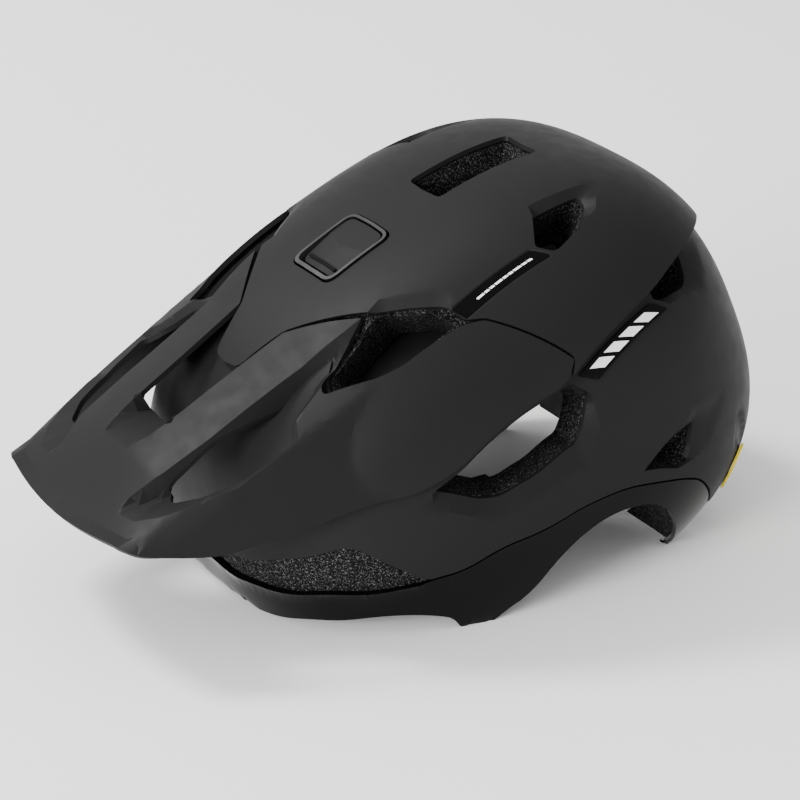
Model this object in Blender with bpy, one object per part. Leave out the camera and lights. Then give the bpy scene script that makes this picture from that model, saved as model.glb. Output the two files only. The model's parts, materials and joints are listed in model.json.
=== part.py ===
"""Trail cycling helmet with a visor, as an assembly of separate pieces.

Every shell, strip and pad lies on one head form. The form is drawn as a map:
a point (u, v) stands u degrees to the wearer's left and v degrees to the rear
of the crown, seen from the centre of the head. An outline is a list of map
points, and a lift is a height above the form in millimetres.
The front is -Y, the wearer's left is +X, and the helmet stands on z = 0.
"""
from math import ceil, radians

import bmesh
import bpy
import numpy as np
from mathutils import Matrix, Vector
from mathutils.geometry import delaunay_2d_cdt

MM = 0.001

# Head form, mm and degrees
HALF_WIDTH = 103.0
FRONT_REACH = 146.7
REAR_REACH = 121.0
CROWN_RISE = 101.0
SKIRT_DROP = 98.0
FORM_TILT = 23.5
SIDE_POWER = 2.94
PROFILE_POWER = 2.63
CENTRE_HEIGHT = 62.0
CENTRE_BACK = 44.3

# Layers, mm of lift above the head form
SHELL_THICKNESS = 2.2
CROWN_LIFT = 5.0
RIM_LIFT = -0.5
LAYER_GAP = 1.0
FOAM_INNER = -24.0
FOAM_FLOOR = 3.0
LINER_GAP = 2.4
LINER_THICKNESS = 1.2
PAD_GAP = 1.8
PAD_THICKNESS = 6.0
RIM_SEAM = 0.6

# Visor, mm from the centre of the head form
VISOR_THICKNESS = 2.4
VISOR_RIDGE = ((-211.5, -8.0), (-203.5, -2.0), (-179.5, 20.5), (-107.5, 62.0), (-81.5, 77.0))
VISOR_CREASE = ((-205.5, 44.0, -5.0), (-162.0, 35.7, 16.7), (-110.6, 29.9, 43.8),
                (-72.3, 27.3, 64.6), (-49.4, 27.3, 76.9))
VISOR_EDGE = ((-203.8, 41.5, -6.2), (-181.8, 32.7, -7.3), (-137.7, 18.4, -0.5),
              (-86.8, 5.3, 10.4), (-70.0, 2.0, 18.3), (-15.0, -0.6, 47.4))
VISOR_PIVOT = (-45.5, 0.6535 * CROWN_RISE)
VISOR_REACH = 211.5
VISOR_BOW = 0.0019
PIVOT_RADIUS = 3.0
PIVOT_LENGTH = 16.0
PIVOT_CLEARANCE = 0.4
BUSH_LENGTH = 9.0

# Dial retention, mm
DIAL_RADIUS = 13.0
DIAL_THICKNESS = 7.0
DIAL_GRIPS = 10
DIAL_HEIGHT = 24.0
DIAL_INSET = 30.0
PINION_RADIUS = 4.2
PINION_TEETH = 10
TOOTH_FLANKS = (-0.31, -0.11, 0.11, 0.31)  # parts of a pitch where a tooth's root, tip, tip and root lie
TOOTH_RISE = 0.5
TOOTH_DROP = 0.7
RACK_TEETH = 13
RACK_TAIL = 8.0  # a rack's length behind the pinion's middle
SHAFT_RADIUS = 2.6
HOUSING_WALL = 1.8
RACK_LENGTH = 58.0
RACK_HEIGHT = 4.6
RACK_THICKNESS = 2.0
RACK_CLEARANCE = 0.4
HOUSING_HALF = 34.0
BAND_THICKNESS = 1.6

# Straps and buckle, mm
WEB_WIDTH = 15.0
WEB_THICKNESS = 1.2
WEB_HEIGHT = 4.0
DIVIDER_X = 44.0
DIVIDER_SIZE = (12.0, 32.0, 3.4)
CAM_SIZE = (9.0, 18.0, 2.0)
CAM_GAP = 0.7
BUCKLE_HALF = 21.0
BUCKLE_WIDTH = 22.0
BUCKLE_HEIGHT = 7.0

SPACING = 6.6
CENTRE = np.array([0.0, CENTRE_BACK, CENTRE_HEIGHT])

# Map outlines, left half, front to rear: (u, v) or (u, v, corner length), degrees
TONGUE = [(0, -71), (5.5, -70.5, 2), (10.6, -60, 1), (25.2, -45.6, 1)]
CROWN_SIDE = [(26.4, -44.6, 1), (37.0, -30.8, 2), (42.6, -28.8, 1), (44.6, -24.4, 1), (60.3, -6.6, 1.5),
              (64.0, -8.4, 1), (61.2, -3.2, 3), (55.4, 7.6, 6), (49.8, 17.2, 4), (41.0, 27.4, 4),
              (33.0, 35.6, 3), (24.5, 43.0, 3), (14.0, 44.5, 5)]
CROWN_REAR = (0, 43)
TOP_VENT = [(0, 12.6), (6.1, 13.0, 1.5), (6.8, -13.5, 1.5), (0, -14.0)]
CAMERA_SEAT = [(0, -28.4), (9.6, -28.6, 2), (9.5, -47.6, 2), (0, -47.8)]
SIDE_TOP_VENT = [(27.3, -1.9, 1), (25.3, 11.0, 1.5), (29.0, 10.4, 1.5), (34.6, 5.4, 2),
                 (38.2, -2.4, 1.5), (35.4, -6.0, 1)]
FRONT_VENT = [(27.6, -44.0, 1.5), (37.4, -32.4, 2), (41.4, -30.6, 1.5), (41.6, -45.8, 2),
              (39.8, -51.0, 2), (33.0, -60.6, 2), (30.4, -59.6, 1.5)]
INLAY_STRIP = [(39.0, -30.6, 0.6), (36.0, -8.0, 0.6), (38.6, -4.2, 0.6), (42.4, -27.6, 0.6)]
SIDE_STRIP = [(64.6, -5.6, 0.8), (51.6, 18.2, 0.8), (52.4, 23.4, 0.8), (66.6, 0.6, 0.8)]
SIDE_VENT = [(65.4, -8.4, 1.5), (66.8, -14.0, 3), (68.4, -46.0, 3), (66.6, -55.4, 1.5),
             (77.8, -45.6, 4), (82.0, -38.6, 4), (84.0, -23.6, 5), (80.8, -6.6, 2), (76.4, -3.6, 2),
             (69.4, -1.6, 1.5)]
REAR_SIDE_VENT = [(50.6, 19.4, 1), (49.8, 24.4, 1.5), (46.0, 31.6, 2), (43.6, 32.6, 1.5),
                  (38.6, 32.0, 1.5), (36.6, 27.6, 1.5), (45.2, 16.4, 1.5)]
TRIANGLE_VENT = [(73.6, 42.0, 1), (90.0, 22.6, 1), (86.4, 39.2, 2), (82.8, 44.4, 1.5), (80.2, 44.4, 1.5)]
REAR_VENT = [(18.0, 60.0, 2), (34.0, 57.0, 2), (38.0, 68.0, 3), (30.0, 80.0, 3), (20.0, 80.0, 2)]
LOW_EDGE = [(0, -102), (21.6, -100.8, 6), (34.0, -95.5, 6), (48.6, -85.6, 6), (57.0, -77.0, 4),
            (66.0, -74.4, 4), (79.6, -69.2, 4), (88.2, -57.4, 8), (98.9, -24.0, 12), (97.2, 2.4, 8),
            (91.8, 31.8, 10), (84.2, 53.4, 4), (80.2, 76.4, 4), (72.0, 83.4, 4), (40.0, 95.0, 14)]
LOW_EDGE_REAR = (0, 98)
LOWER_TOP = [(0, 34), (18.0, 33.0, 4), (29.0, 24.0, 4), (36.0, 15.0, 3), (41.5, 6.0, 3), (49.0, -4.0, 3),
             (46.5, -19.0, 2), (42.8, -27.5, 1), (42.0, -45.8, 2), (40.0, -51.2, 2), (33.2, -61.2, 2),
             (30.0, -60.0, 1), (23.0, -53.0, 2), (13.0, -57.0, 2), (6.0, -66.0, 2), (0, -66)]
RIM_TOP = [(0, -107.6), (20.0, -106.6, 6), (43.0, -98.4, 8), (68.6, -81.6, 8), (79.4, -70.4, 2)]
RIM_EDGE = [(0, -115.6), (19.0, -114.6, 6), (40.0, -107.0, 8), (62.0, -93.6, 6), (80.0, -79.0, 6),
            (95.0, -66.8, 4), (105.0, -66.0, 3), (111.8, -34.0, 8), (107.6, -14.0, 10), (101.4, 13.2, 12),
            (96.6, 36.4, 8), (98.0, 64.0, 6), (94.6, 82.6, 3), (82.6, 86.6, 4), (66.0, 90.0, 8),
            (40.0, 101.5, 12)]
RIM_REAR = (0, 105)
VISOR_FRONT = [(0, -92.2), (11.0, -91.7, 3), (21.8, -89.4, 1), (26.6, -87.6, 0.6), (33.4, -86.0, 3),
               (38.0, -84.2, 4), (47.4, -77.2, 6), (63.8, -57.4, 8), (67.4, -46.0, 8), (65.6, -13.6, 4),
               (64.2, -9.6, 0.5), (60.8, -7.4, 0.5), (45.1, -25.0, 1), (43.5, -30.6, 1)]
VISOR_REAR = [(42.0, -45.8, 2), (40.0, -51.2, 2), (33.2, -61.4, 2), (30.0, -60.2, 1), (25.9, -46.9, 0.5),
              (10.9, -60.4, 0.3), (6.6, -78.0, 2), (5.0, -83.8, 1), (0, -84.0)]
VISOR_SLOT = [(14.6, -87.2, 0.8), (20.1, -87.0, 0.8), (28.5, -81.8, 2), (33.4, -77.0, 2), (37.0, -67.8, 1.5),
              (33.0, -66.8, 1), (30.4, -60.9, 1), (26.2, -60.5, 1), (25.2, -74.7, 1), (17.6, -82.6, 1)]


LINER_EDGE = [(0, -98), (30.0, -92.0, 8), (58.0, -74.0, 8), (78.0, -50.0, 10), (86.0, -10.0, 12),
              (82.0, 30.0, 12), (68.0, 56.0, 10), (38.0, 76.0, 10)]
LINER_REAR = (0, 82)
BROW_PAD = [(0, -97), (24.0, -93.5, 5), (44.0, -83.0, 3), (48.0, -77.0, 3), (41.0, -75.0, 3),
            (22.0, -84.5, 5), (0, -88)]
TOP_PAD = [(12.0, -24.0, 2), (20.0, -24.0, 2), (20.5, 12.0, 2), (12.5, 14.0, 2)]
SIDE_PAD = [(47.0, -38.0, 3), (57.0, -37.0, 3), (59.0, -8.0, 4), (50.0, -5.0, 3)]
REAR_PAD = [(0, 36), (10.0, 37.0, 4), (12.0, 54.0, 4), (0, 56)]
LINER_ANCHORS = [(21.0, -66.0), (58.0, 30.0)]
ANCHOR_POLAR = 2.6
ANCHOR_CLEARANCE = 2.4
BAND_POLAR = (101.0, 106.5)
BAND_BEARING = 131.0
BADGE = (66.5, 79.0)
BADGE_POLAR = 5.4
STRAP_ANCHORS = {"front": (80.0, -50.0), "rear": (72.0, 62.0)}


def smooth(value):
    """Ease from 0 to 1."""
    value = np.clip(value, 0.0, 1.0)
    return value * value * (3.0 - 2.0 * value)


def form_radius(direction):
    """Distance from the centre of the head form to its surface."""
    tilt = radians(FORM_TILT)
    along = direction[:, 1] * np.cos(tilt) + direction[:, 2] * np.sin(tilt)
    up = direction[:, 2] * np.cos(tilt) - direction[:, 1] * np.sin(tilt)
    reach = np.where(along < 0, FRONT_REACH, REAR_REACH)
    rise = np.where(up > 0, CROWN_RISE, SKIRT_DROP)
    profile = np.abs(along / reach) ** PROFILE_POWER + np.abs(up / rise) ** PROFILE_POWER
    side = np.abs(direction[:, 0] / HALF_WIDTH) ** SIDE_POWER
    return (side + profile ** (SIDE_POWER / PROFILE_POWER)) ** (-1.0 / SIDE_POWER)


def map_direction(points):
    """Unit directions of map points."""
    polar = np.hypot(points[:, 0], points[:, 1])
    bearing = np.arctan2(points[:, 0], points[:, 1])
    polar = np.radians(polar)
    return np.stack([np.sin(polar) * np.sin(bearing), np.sin(polar) * np.cos(bearing), np.cos(polar)], axis=1)


def dome(points, lift):
    """Places map points at a lift above the head form."""
    direction = map_direction(points)
    return CENTRE + direction * (form_radius(direction) + lift)[:, None]


def rail(stations, column, y):
    """Reads a visor rail at y, running straight on past its ends."""
    ys = np.array([station[0] for station in stations])
    values = np.array([station[column] for station in stations])
    inner = np.interp(y, ys, values)
    first = (values[1] - values[0]) / (ys[1] - ys[0])
    last = (values[-1] - values[-2]) / (ys[-1] - ys[-2])
    return inner + np.minimum(y - ys[0], 0.0) * first + np.maximum(y - ys[-1], 0.0) * last


def brim_height(x, y):
    """Height of the visor's top and side faces over a plan point."""
    half = HALF_WIDTH - rail(VISOR_CREASE, 1, y)
    shoulder = rail(VISOR_CREASE, 2, y)
    edge = HALF_WIDTH - rail(VISOR_EDGE, 1, y)
    foot = rail(VISOR_EDGE, 2, y)
    ridge = rail(VISOR_RIDGE, 1, y)
    across = np.abs(x)
    top = ridge - (ridge - shoulder) * (across / half) ** 2
    side = shoulder + (across - half) / np.maximum(edge - half, 2.0) * (foot - shoulder)
    return np.where(across < half, top, side)


def visor_point(points):
    """Places map points on the visor's outer face."""
    direction = map_direction(points)
    low = form_radius(direction) * 0.8
    high = np.full(len(points), FRONT_REACH * 2.0)
    for _ in range(40):
        middle = (low + high) / 2
        place = direction * middle[:, None]
        below = place[:, 2] < brim_height(place[:, 0], place[:, 1])
        below &= place[:, 1] > VISOR_BOW * place[:, 0] ** 2 - VISOR_REACH
        low = np.where(below, middle, low)
        high = np.where(below, high, middle)
    reach = np.maximum(low, form_radius(direction) + CROWN_LIFT)
    return CENTRE + direction * reach[:, None]


def visor_face(points, lift):
    """Places map points below the visor's outer face, measured square to it."""
    step = 0.4
    here = visor_point(points)
    across = visor_point(points + [step, 0.0]) - visor_point(points - [step, 0.0])
    along = visor_point(points + [0.0, step]) - visor_point(points - [0.0, step])
    normal = np.cross(across, along)
    normal /= np.linalg.norm(normal, axis=1)[:, None]
    return here + normal * lift[:, None]


def rounded(points, spacing, closed=True):
    """Rounds an outline's corners and divides its long sides."""
    path = []
    count = len(points)
    for index, point in enumerate(points):
        here = np.array(point[:2], float)
        corner = point[2] if len(point) > 2 else 0.0
        ends = not closed and index in (0, count - 1)
        if corner <= 0 or ends:
            path.append(here)
            continue
        before = np.array(points[index - 1][:2], float) - here
        after = np.array(points[(index + 1) % count][:2], float) - here
        reach = min(corner, 0.45 * np.hypot(*before), 0.45 * np.hypot(*after))
        start = here + before / np.hypot(*before) * reach
        end = here + after / np.hypot(*after) * reach
        steps = 2 if reach < spacing else 3
        for part in np.linspace(0.0, 1.0, steps + 1):
            path.append((1 - part) ** 2 * start + 2 * part * (1 - part) * here + part ** 2 * end)
    divided = []
    sides = len(path) if closed else len(path) - 1
    for index in range(sides):
        start, end = path[index], path[(index + 1) % len(path)]
        parts = max(1, ceil(np.hypot(*(end - start)) / spacing))
        divided += [start + (end - start) * part / parts for part in range(parts)]
    if not closed:
        divided.append(path[-1])
    return np.array(divided)


def inside(points, loop):
    """True for the points inside a closed loop."""
    result = np.zeros(len(points), bool)
    for start, end in zip(loop, np.roll(loop, -1, axis=0)):
        crosses = (start[1] > points[:, 1]) != (end[1] > points[:, 1])
        rise = end[1] - start[1]
        at = start[0] + (points[:, 1] - start[1]) / (rise if rise else 1.0) * (end[0] - start[0])
        result ^= crosses & (points[:, 0] < at)
    return result


def edge_distance(points, loop, closed=True):
    """Distance from each point to the nearest side of a loop."""
    nearest = np.full(len(points), 1e9)
    ends = np.roll(loop, -1, axis=0) if closed else loop[1:]
    for start, end in zip(loop, ends):
        side = end - start
        share = np.clip(((points - start) @ side) / max(side @ side, 1e-12), 0.0, 1.0)
        gap = points - start - share[:, None] * side
        nearest = np.minimum(nearest, np.hypot(gap[:, 0], gap[:, 1]))
    return nearest


def both_sides(half):
    """Joins a left-half outline, which starts and ends at u = 0, to its mirror image."""
    middle = [point for point in half if point[0] != 0]
    mirror = [(-point[0],) + tuple(point[1:]) for point in reversed(middle)]
    return half + mirror


def flat_sheet(outline, holes, spacing):
    """Triangulates an outline with holes in the map."""
    loops = [rounded(outline, spacing)] + [rounded(hole, spacing) for hole in holes]
    points, edges = [], []
    for loop in loops:
        first = len(points)
        points += list(loop)
        edges += [(first + i, first + (i + 1) % len(loop)) for i in range(len(loop))]
    low, high = loops[0].min(axis=0), loops[0].max(axis=0)
    rows = np.arange(low[1], high[1], spacing * 0.87)
    lattice = [(u + (row % 2) * spacing / 2, v) for row, v in enumerate(rows)
               for u in np.arange(np.floor(low[0] / spacing) * spacing, high[0], spacing)]
    if lattice:
        lattice = np.array(lattice)
        keep = inside(lattice, loops[0]) & (edge_distance(lattice, loops[0]) > spacing * 0.55)
        for loop in loops[1:]:
            keep &= ~inside(lattice, loop) & (edge_distance(lattice, loop) > spacing * 0.55)
        points += list(lattice[keep])
    result = delaunay_2d_cdt([Vector(point) for point in points], edges, [], 0, 1e-5)
    verts = np.array([tuple(vert) for vert in result[0]])
    faces = np.array([face for face in result[2]])
    middles = verts[faces].mean(axis=1)
    keep = inside(middles, loops[0])
    for loop in loops[1:]:
        keep &= ~inside(middles, loop)
    return verts, faces[keep]


def mirrored(verts, faces):
    """Adds a sheet's mirror image across u = 0, sharing the points on the line."""
    verts = verts.copy()
    on_line = np.abs(verts[:, 0]) < 1e-4
    verts[on_line, 0] = 0.0
    twin = np.arange(len(verts))
    twin[~on_line] = len(verts) + np.arange((~on_line).sum())
    extra = verts[~on_line] * [-1.0, 1.0]
    return np.vstack([verts, extra]), np.vstack([faces, twin[faces][:, ::-1]])


def finish(name, bm, colour, roughness=0.6, metallic=0.0):
    """Turns a bmesh in millimetres into a named object with its own material."""
    bmesh.ops.recalc_face_normals(bm, faces=bm.faces)
    bmesh.ops.scale(bm, vec=(MM, MM, MM), verts=bm.verts)
    mesh = bpy.data.meshes.new(name)
    bm.to_mesh(mesh)
    bm.free()
    material = bpy.data.materials.new(name)
    material.use_nodes = True
    shader = material.node_tree.nodes["Principled BSDF"]
    shader.inputs["Base Color"].default_value = (*colour, 1.0)
    shader.inputs["Roughness"].default_value = roughness
    shader.inputs["Metallic"].default_value = metallic
    mesh.materials.append(material)
    made = bpy.data.objects.new(name, mesh)
    PARTS.objects.link(made)
    return made


def panel(name, outline, outer, inner, colour, holes=(), half=False, spacing=SPACING, surface=dome,
          floor=0.0, **look):
    """A solid layer over an outline of the map, between two lifts."""
    verts, faces = flat_sheet(outline, holes, spacing)
    if half:
        verts, faces = mirrored(verts, faces)
    used = np.unique(faces)
    order = np.zeros(len(verts), int)
    order[used] = np.arange(len(used))
    verts, faces = verts[used], order[faces]
    lifts = [lift(verts) if callable(lift) else np.full(len(verts), float(lift)) for lift in (inner, outer)]
    places = [surface(verts, lift) for lift in lifts]
    bm = bmesh.new()
    bottom = [bm.verts.new(place) for place in places[0]]
    for face in faces:
        bm.faces.new([bottom[index] for index in face])
    bm.verts.index_update()
    raised = bmesh.ops.extrude_face_region(bm, geom=bm.faces[:], use_keep_orig=True)
    tops = [item for item in raised["geom"] if isinstance(item, bmesh.types.BMVert)]
    place_of = {tuple(np.round(low, 4)): high for low, high in zip(np.array([v.co for v in bottom]), places[1])}
    for vert in tops:
        vert.co = place_of[tuple(np.round(np.array(vert.co), 4))]
    for vert in bm.verts:
        vert.co.z = max(vert.co.z, floor)
    return finish(name, bm, colour, **look)


def grow(outline, degrees):
    """Moves an outline's points outwards from the crown."""
    moved = []
    for point in outline:
        reach = np.hypot(point[0], point[1])
        scale = (reach + degrees) / reach
        moved.append((point[0] * scale, point[1] * scale) + tuple(point[2:]))
    return moved


def arc(polar, start, end, steps):
    """Points at one angle from the crown, between two bearings from the front."""
    bearings = np.radians(np.linspace(start, end, steps))
    return [(float(polar * np.sin(b)) if abs(b) > 1e-9 else 0, float(-polar * np.cos(b))) for b in bearings]


def disc(middle, radius, steps=12):
    """A round outline in the map."""
    turns = np.linspace(0.0, 2.0 * np.pi, steps, endpoint=False)
    return [(float(middle[0] + radius * np.cos(t)), float(middle[1] + radius * np.sin(t))) for t in turns]


def flipped(outline):
    """Mirror image of an outline."""
    return [(-point[0],) + tuple(point[1:]) for point in reversed(outline)]


def half_width(back, up, lift):
    """Distance from the middle plane to the form, level with a point in it."""
    low, high = 0.0, HALF_WIDTH * 1.5
    for _ in range(50):
        middle = (low + high) / 2
        place = np.array([[middle, back, up]])
        reach = np.linalg.norm(place)
        if reach < form_radius(place / reach)[0] + lift:
            low = middle
        else:
            high = middle
    return low


def prism(name, outline, depth, frame, colour, **look):
    """Extrudes a flat outline along the frame's third axis."""
    bm = bmesh.new()
    face = bm.faces.new([bm.verts.new((point[0], point[1], 0.0)) for point in outline])
    raised = bmesh.ops.extrude_face_region(bm, geom=[face], use_keep_orig=True)
    tops = [item for item in raised["geom"] if isinstance(item, bmesh.types.BMVert)]
    bmesh.ops.translate(bm, vec=(0.0, 0.0, depth), verts=tops)
    bmesh.ops.transform(bm, matrix=frame, verts=bm.verts)
    return finish(name, bm, colour, **look)


def axes(origin, first, second):
    """A frame at a point with its first two axes along two directions."""
    first, second = Vector(first), Vector(second)
    return Matrix.Translation(origin) @ Matrix((first, second, first.cross(second))).transposed().to_4x4()


def ring(radius, steps=20):
    """A circle's points."""
    turns = np.linspace(0.0, 2.0 * np.pi, steps, endpoint=False)
    return [(radius * np.cos(t), radius * np.sin(t)) for t in turns]


def gear(teeth, root, tip):
    """A toothed wheel's points."""
    points = []
    for tooth in range(teeth):
        for part, reach in zip(TOOTH_FLANKS, (root, tip, tip, root)):
            angle = (tooth + part) * 2.0 * np.pi / teeth
            points.append((reach * np.cos(angle), reach * np.sin(angle)))
    return points


def ribbon(name, points, width, thickness, across, colour):
    """A flat strip swept through points, with its width along one direction."""
    places = [Vector(point) for point in points]
    across = Vector(across).normalized()
    bm = bmesh.new()
    rows = []
    for index, place in enumerate(places):
        ahead = places[min(index + 1, len(places) - 1)] - places[max(index - 1, 0)]
        up = across.cross(ahead).normalized() * (thickness / 2)
        side = across * (width / 2)
        rows.append([bm.verts.new(place + side * a + up * b) for a, b in ((-1, -1), (1, -1), (1, 1), (-1, 1))])
    for low, high in zip(rows, rows[1:]):
        for corner in range(4):
            following = (corner + 1) % 4
            bm.faces.new((low[corner], low[following], high[following], high[corner]))
    bm.faces.new(rows[0])
    bm.faces.new(reversed(rows[-1]))
    return finish(name, bm, colour)


def block(name, low, high, colour, bevel=0.6, **look):
    """A box between two corners with bevelled edges."""
    bm = bmesh.new()
    bmesh.ops.create_cube(bm, size=1.0)
    size = Vector(high) - Vector(low)
    bmesh.ops.scale(bm, vec=size, verts=bm.verts)
    bmesh.ops.translate(bm, vec=(Vector(low) + Vector(high)) / 2, verts=bm.verts)
    bmesh.ops.bevel(bm, geom=bm.edges[:], offset=bevel, segments=1, affect="EDGES")
    return finish(name, bm, colour, **look)


def rod(name, radius, start, end, colour, steps=20, **look):
    """A round bar along X between two x values at one height."""
    bm = bmesh.new()
    bmesh.ops.create_cone(bm, cap_ends=True, segments=steps, radius1=radius, radius2=radius,
                          depth=abs(end - start))
    bmesh.ops.rotate(bm, cent=(0, 0, 0), matrix=Matrix.Rotation(radians(90), 3, "Y"), verts=bm.verts)
    middle = ((start + end) / 2, CENTRE[1] + VISOR_PIVOT[0], CENTRE[2] + VISOR_PIVOT[1])
    bmesh.ops.translate(bm, vec=middle, verts=bm.verts)
    return finish(name, bm, colour, **look)


def combine(target, tool, operation):
    """Adds a hidden tool to a piece, or takes it away."""
    PARTS.objects.unlink(tool)
    CUTTERS.objects.link(tool)
    tool.hide_render = True
    tool.display_type = "WIRE"
    modifier = target.modifiers.new(tool.name, "BOOLEAN")
    modifier.operation = operation
    modifier.object = tool
    modifier.solver = "EXACT"


def cut(target, cutter):
    """Subtracts a hidden cutter from a piece."""
    combine(target, cutter, "DIFFERENCE")


CROWN_HALF = TONGUE + CROWN_SIDE + [CROWN_REAR]
LOWER_HALF = LOW_EDGE + [LOW_EDGE_REAR]
RAISED_LOOP = rounded(both_sides(LOWER_TOP), SPACING)


def foam_top(points):
    """The foam stands up under the crown shell and dips under the camera seat."""
    depth = np.where(inside(points, RAISED_LOOP), edge_distance(points, RAISED_LOOP), 0.0)
    under_shell = -SHELL_THICKNESS - LAYER_GAP
    rise = CROWN_LIFT - SHELL_THICKNESS - LAYER_GAP - under_shell
    lift = under_shell + rise * smooth((depth - 5.0) / 3.0)
    seat = both_sides(CAMERA_SEAT)
    seat = rounded(seat, SPACING)
    near = np.where(inside(points, seat), 0.0, edge_distance(points, seat))
    return np.minimum(lift, under_shell + rise * smooth((near - 1.0) / 4.0))


BLACK = (0.02, 0.02, 0.022)
SATIN = (0.03, 0.03, 0.032)
FOAM = (0.05, 0.05, 0.052)
YELLOW = (0.85, 0.7, 0.03)
GREY = (0.12, 0.12, 0.13)


def make_shells():
    """Foam, the three shells and the visor."""
    vents = [SIDE_TOP_VENT, SIDE_VENT, REAR_SIDE_VENT, TRIANGLE_VENT, REAR_VENT, FRONT_VENT]
    foam_edge = grow(RIM_EDGE, -1.6)
    panel("foam_liner", foam_edge + [(0, RIM_REAR[1] - 1.6)] + TOP_VENT, foam_top, FOAM_INNER, FOAM,
          holes=vents, half=True, spacing=SPACING * 1.35, floor=FOAM_FLOOR, roughness=0.9)
    panel("crown_shell", CROWN_HALF + TOP_VENT + CAMERA_SEAT, CROWN_LIFT, CROWN_LIFT - SHELL_THICKNESS, SATIN,
          holes=[SIDE_TOP_VENT], half=True)
    shell_holes = [SIDE_VENT, REAR_SIDE_VENT, TRIANGLE_VENT, REAR_VENT]
    panel("lower_shell", LOWER_HALF + LOWER_TOP, 0.0, -SHELL_THICKNESS, SATIN, holes=shell_holes, half=True)
    rim_top = grow(LOW_EDGE, RIM_SEAM)
    join = [point for point in rim_top if point[0] >= 84.0 or point[1] > 0]
    rim = RIM_EDGE + [RIM_REAR, (0, LOW_EDGE_REAR[1] + RIM_SEAM)] + join[::-1] + RIM_TOP[::-1]
    panel("rim_shell", rim, RIM_LIFT, RIM_LIFT - SHELL_THICKNESS + 0.5, BLACK, half=True, roughness=0.15)
    panel("visor", VISOR_FRONT + VISOR_REAR, 0.0, -VISOR_THICKNESS, SATIN, holes=[VISOR_SLOT], half=True,
          spacing=4.8, surface=visor_face)


def make_pivots():
    """Pins under the visor's arms, the bushes they turn in, and their holes."""
    back, up = VISOR_PIVOT
    pin_end = half_width(back, up + PIVOT_RADIUS, CROWN_LIFT - VISOR_THICKNESS - LAYER_GAP / 2)
    bush_radius = PIVOT_RADIUS + 3.0
    bush_end = half_width(back, up + bush_radius, -SHELL_THICKNESS - LAYER_GAP * 1.3)
    hole = PIVOT_RADIUS + PIVOT_CLEARANCE
    for side, name in ((1, "left"), (-1, "right")):
        rod("visor_pivot_" + name, PIVOT_RADIUS, side * pin_end, side * (pin_end - PIVOT_LENGTH), GREY)
        bush = rod("pivot_bush_" + name, bush_radius, side * bush_end, side * (bush_end - BUSH_LENGTH), BLACK)
        cut(bush, rod("bush_bore_" + name, hole, 0.0, side * HALF_WIDTH, GREY))
        cut(bpy.data.objects["lower_shell"], rod("shell_bore_" + name, hole + 0.3, side * HALF_WIDTH * 0.5,
                                                 side * HALF_WIDTH, GREY))
        foam_low = side * (min(pin_end - PIVOT_LENGTH, bush_end - BUSH_LENGTH) - 0.6)
        cut(bpy.data.objects["foam_liner"], rod("foam_bore_" + name, bush_radius + 0.4, foam_low,
                                                side * HALF_WIDTH, GREY))


def make_trim():
    """Inlay strips, side strips, badges and the camera seat."""
    for side, turn in (("left", list), ("right", flipped)):
        panel("inlay_strip_" + side, turn(INLAY_STRIP), CROWN_LIFT + 0.9, CROWN_LIFT + 0.35, BLACK,
              spacing=3.0, roughness=0.15)
        panel("side_strip_" + side, turn(SIDE_STRIP), 1.0, 0.35, BLACK, spacing=3.0, roughness=0.2)
        panel("badge_" + side, turn(disc(BADGE, BADGE_POLAR, 16)), 1.6, 0.5, YELLOW, spacing=3.0)
    seat = both_sides(CAMERA_SEAT)
    inner_seat = [(0, -30.4), (7.6, -30.6, 2), (7.5, -45.6, 2), (0, -45.8)]
    gap = 0.25
    outer = [(u * (1 - gap / 9.5), v + (gap if v < -38 else -gap)) + tuple(c) for u, v, *c in seat]
    panel("camera_seat", outer, CROWN_LIFT + 0.6, 1.0, BLACK, holes=[both_sides(inner_seat)], spacing=3.0)
    cover = [(u * 0.96, v + (0.3 if v < -38 else -0.3)) + tuple(c) for u, v, *c in both_sides(inner_seat)]
    panel("camera_cover", cover, CROWN_LIFT + 0.2, CROWN_LIFT - 1.8, SATIN, spacing=3.0)


def make_liner():
    """The low-friction liner, its elastic anchors and the comfort pads."""
    liner_out = FOAM_INNER - LINER_GAP
    liner_in = liner_out - LINER_THICKNESS
    holes = [disc(place, ANCHOR_POLAR + ANCHOR_CLEARANCE) for place in LINER_ANCHORS]
    holes += [FRONT_VENT, SIDE_TOP_VENT, SIDE_VENT]
    panel("slip_liner", LINER_EDGE + [LINER_REAR] + TOP_VENT, liner_out, liner_in, YELLOW, holes=holes,
          half=True, spacing=SPACING * 1.3)
    anchor_in = liner_in - 0.2
    for index, place in enumerate(LINER_ANCHORS):
        for side, turn in (("left", list), ("right", flipped)):
            panel("liner_anchor_%d_%s" % (index + 1, side), turn(disc(place, ANCHOR_POLAR, 10)),
                  FOAM_INNER - 1.5, anchor_in, YELLOW, spacing=3.0)
    pad_out = liner_in - PAD_GAP
    pad_in = pad_out - PAD_THICKNESS
    panel("brow_pad", BROW_PAD, pad_out, pad_in, GREY, half=True, spacing=6.0)
    panel("rear_pad", REAR_PAD, pad_out, pad_in, GREY, half=True, spacing=6.0)
    for side, turn in (("left", list), ("right", flipped)):
        panel("top_pad_" + side, turn(TOP_PAD), pad_out, pad_in, GREY, spacing=6.0)
        panel("side_pad_" + side, turn(SIDE_PAD), pad_out, pad_in, GREY, spacing=6.0)


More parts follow.
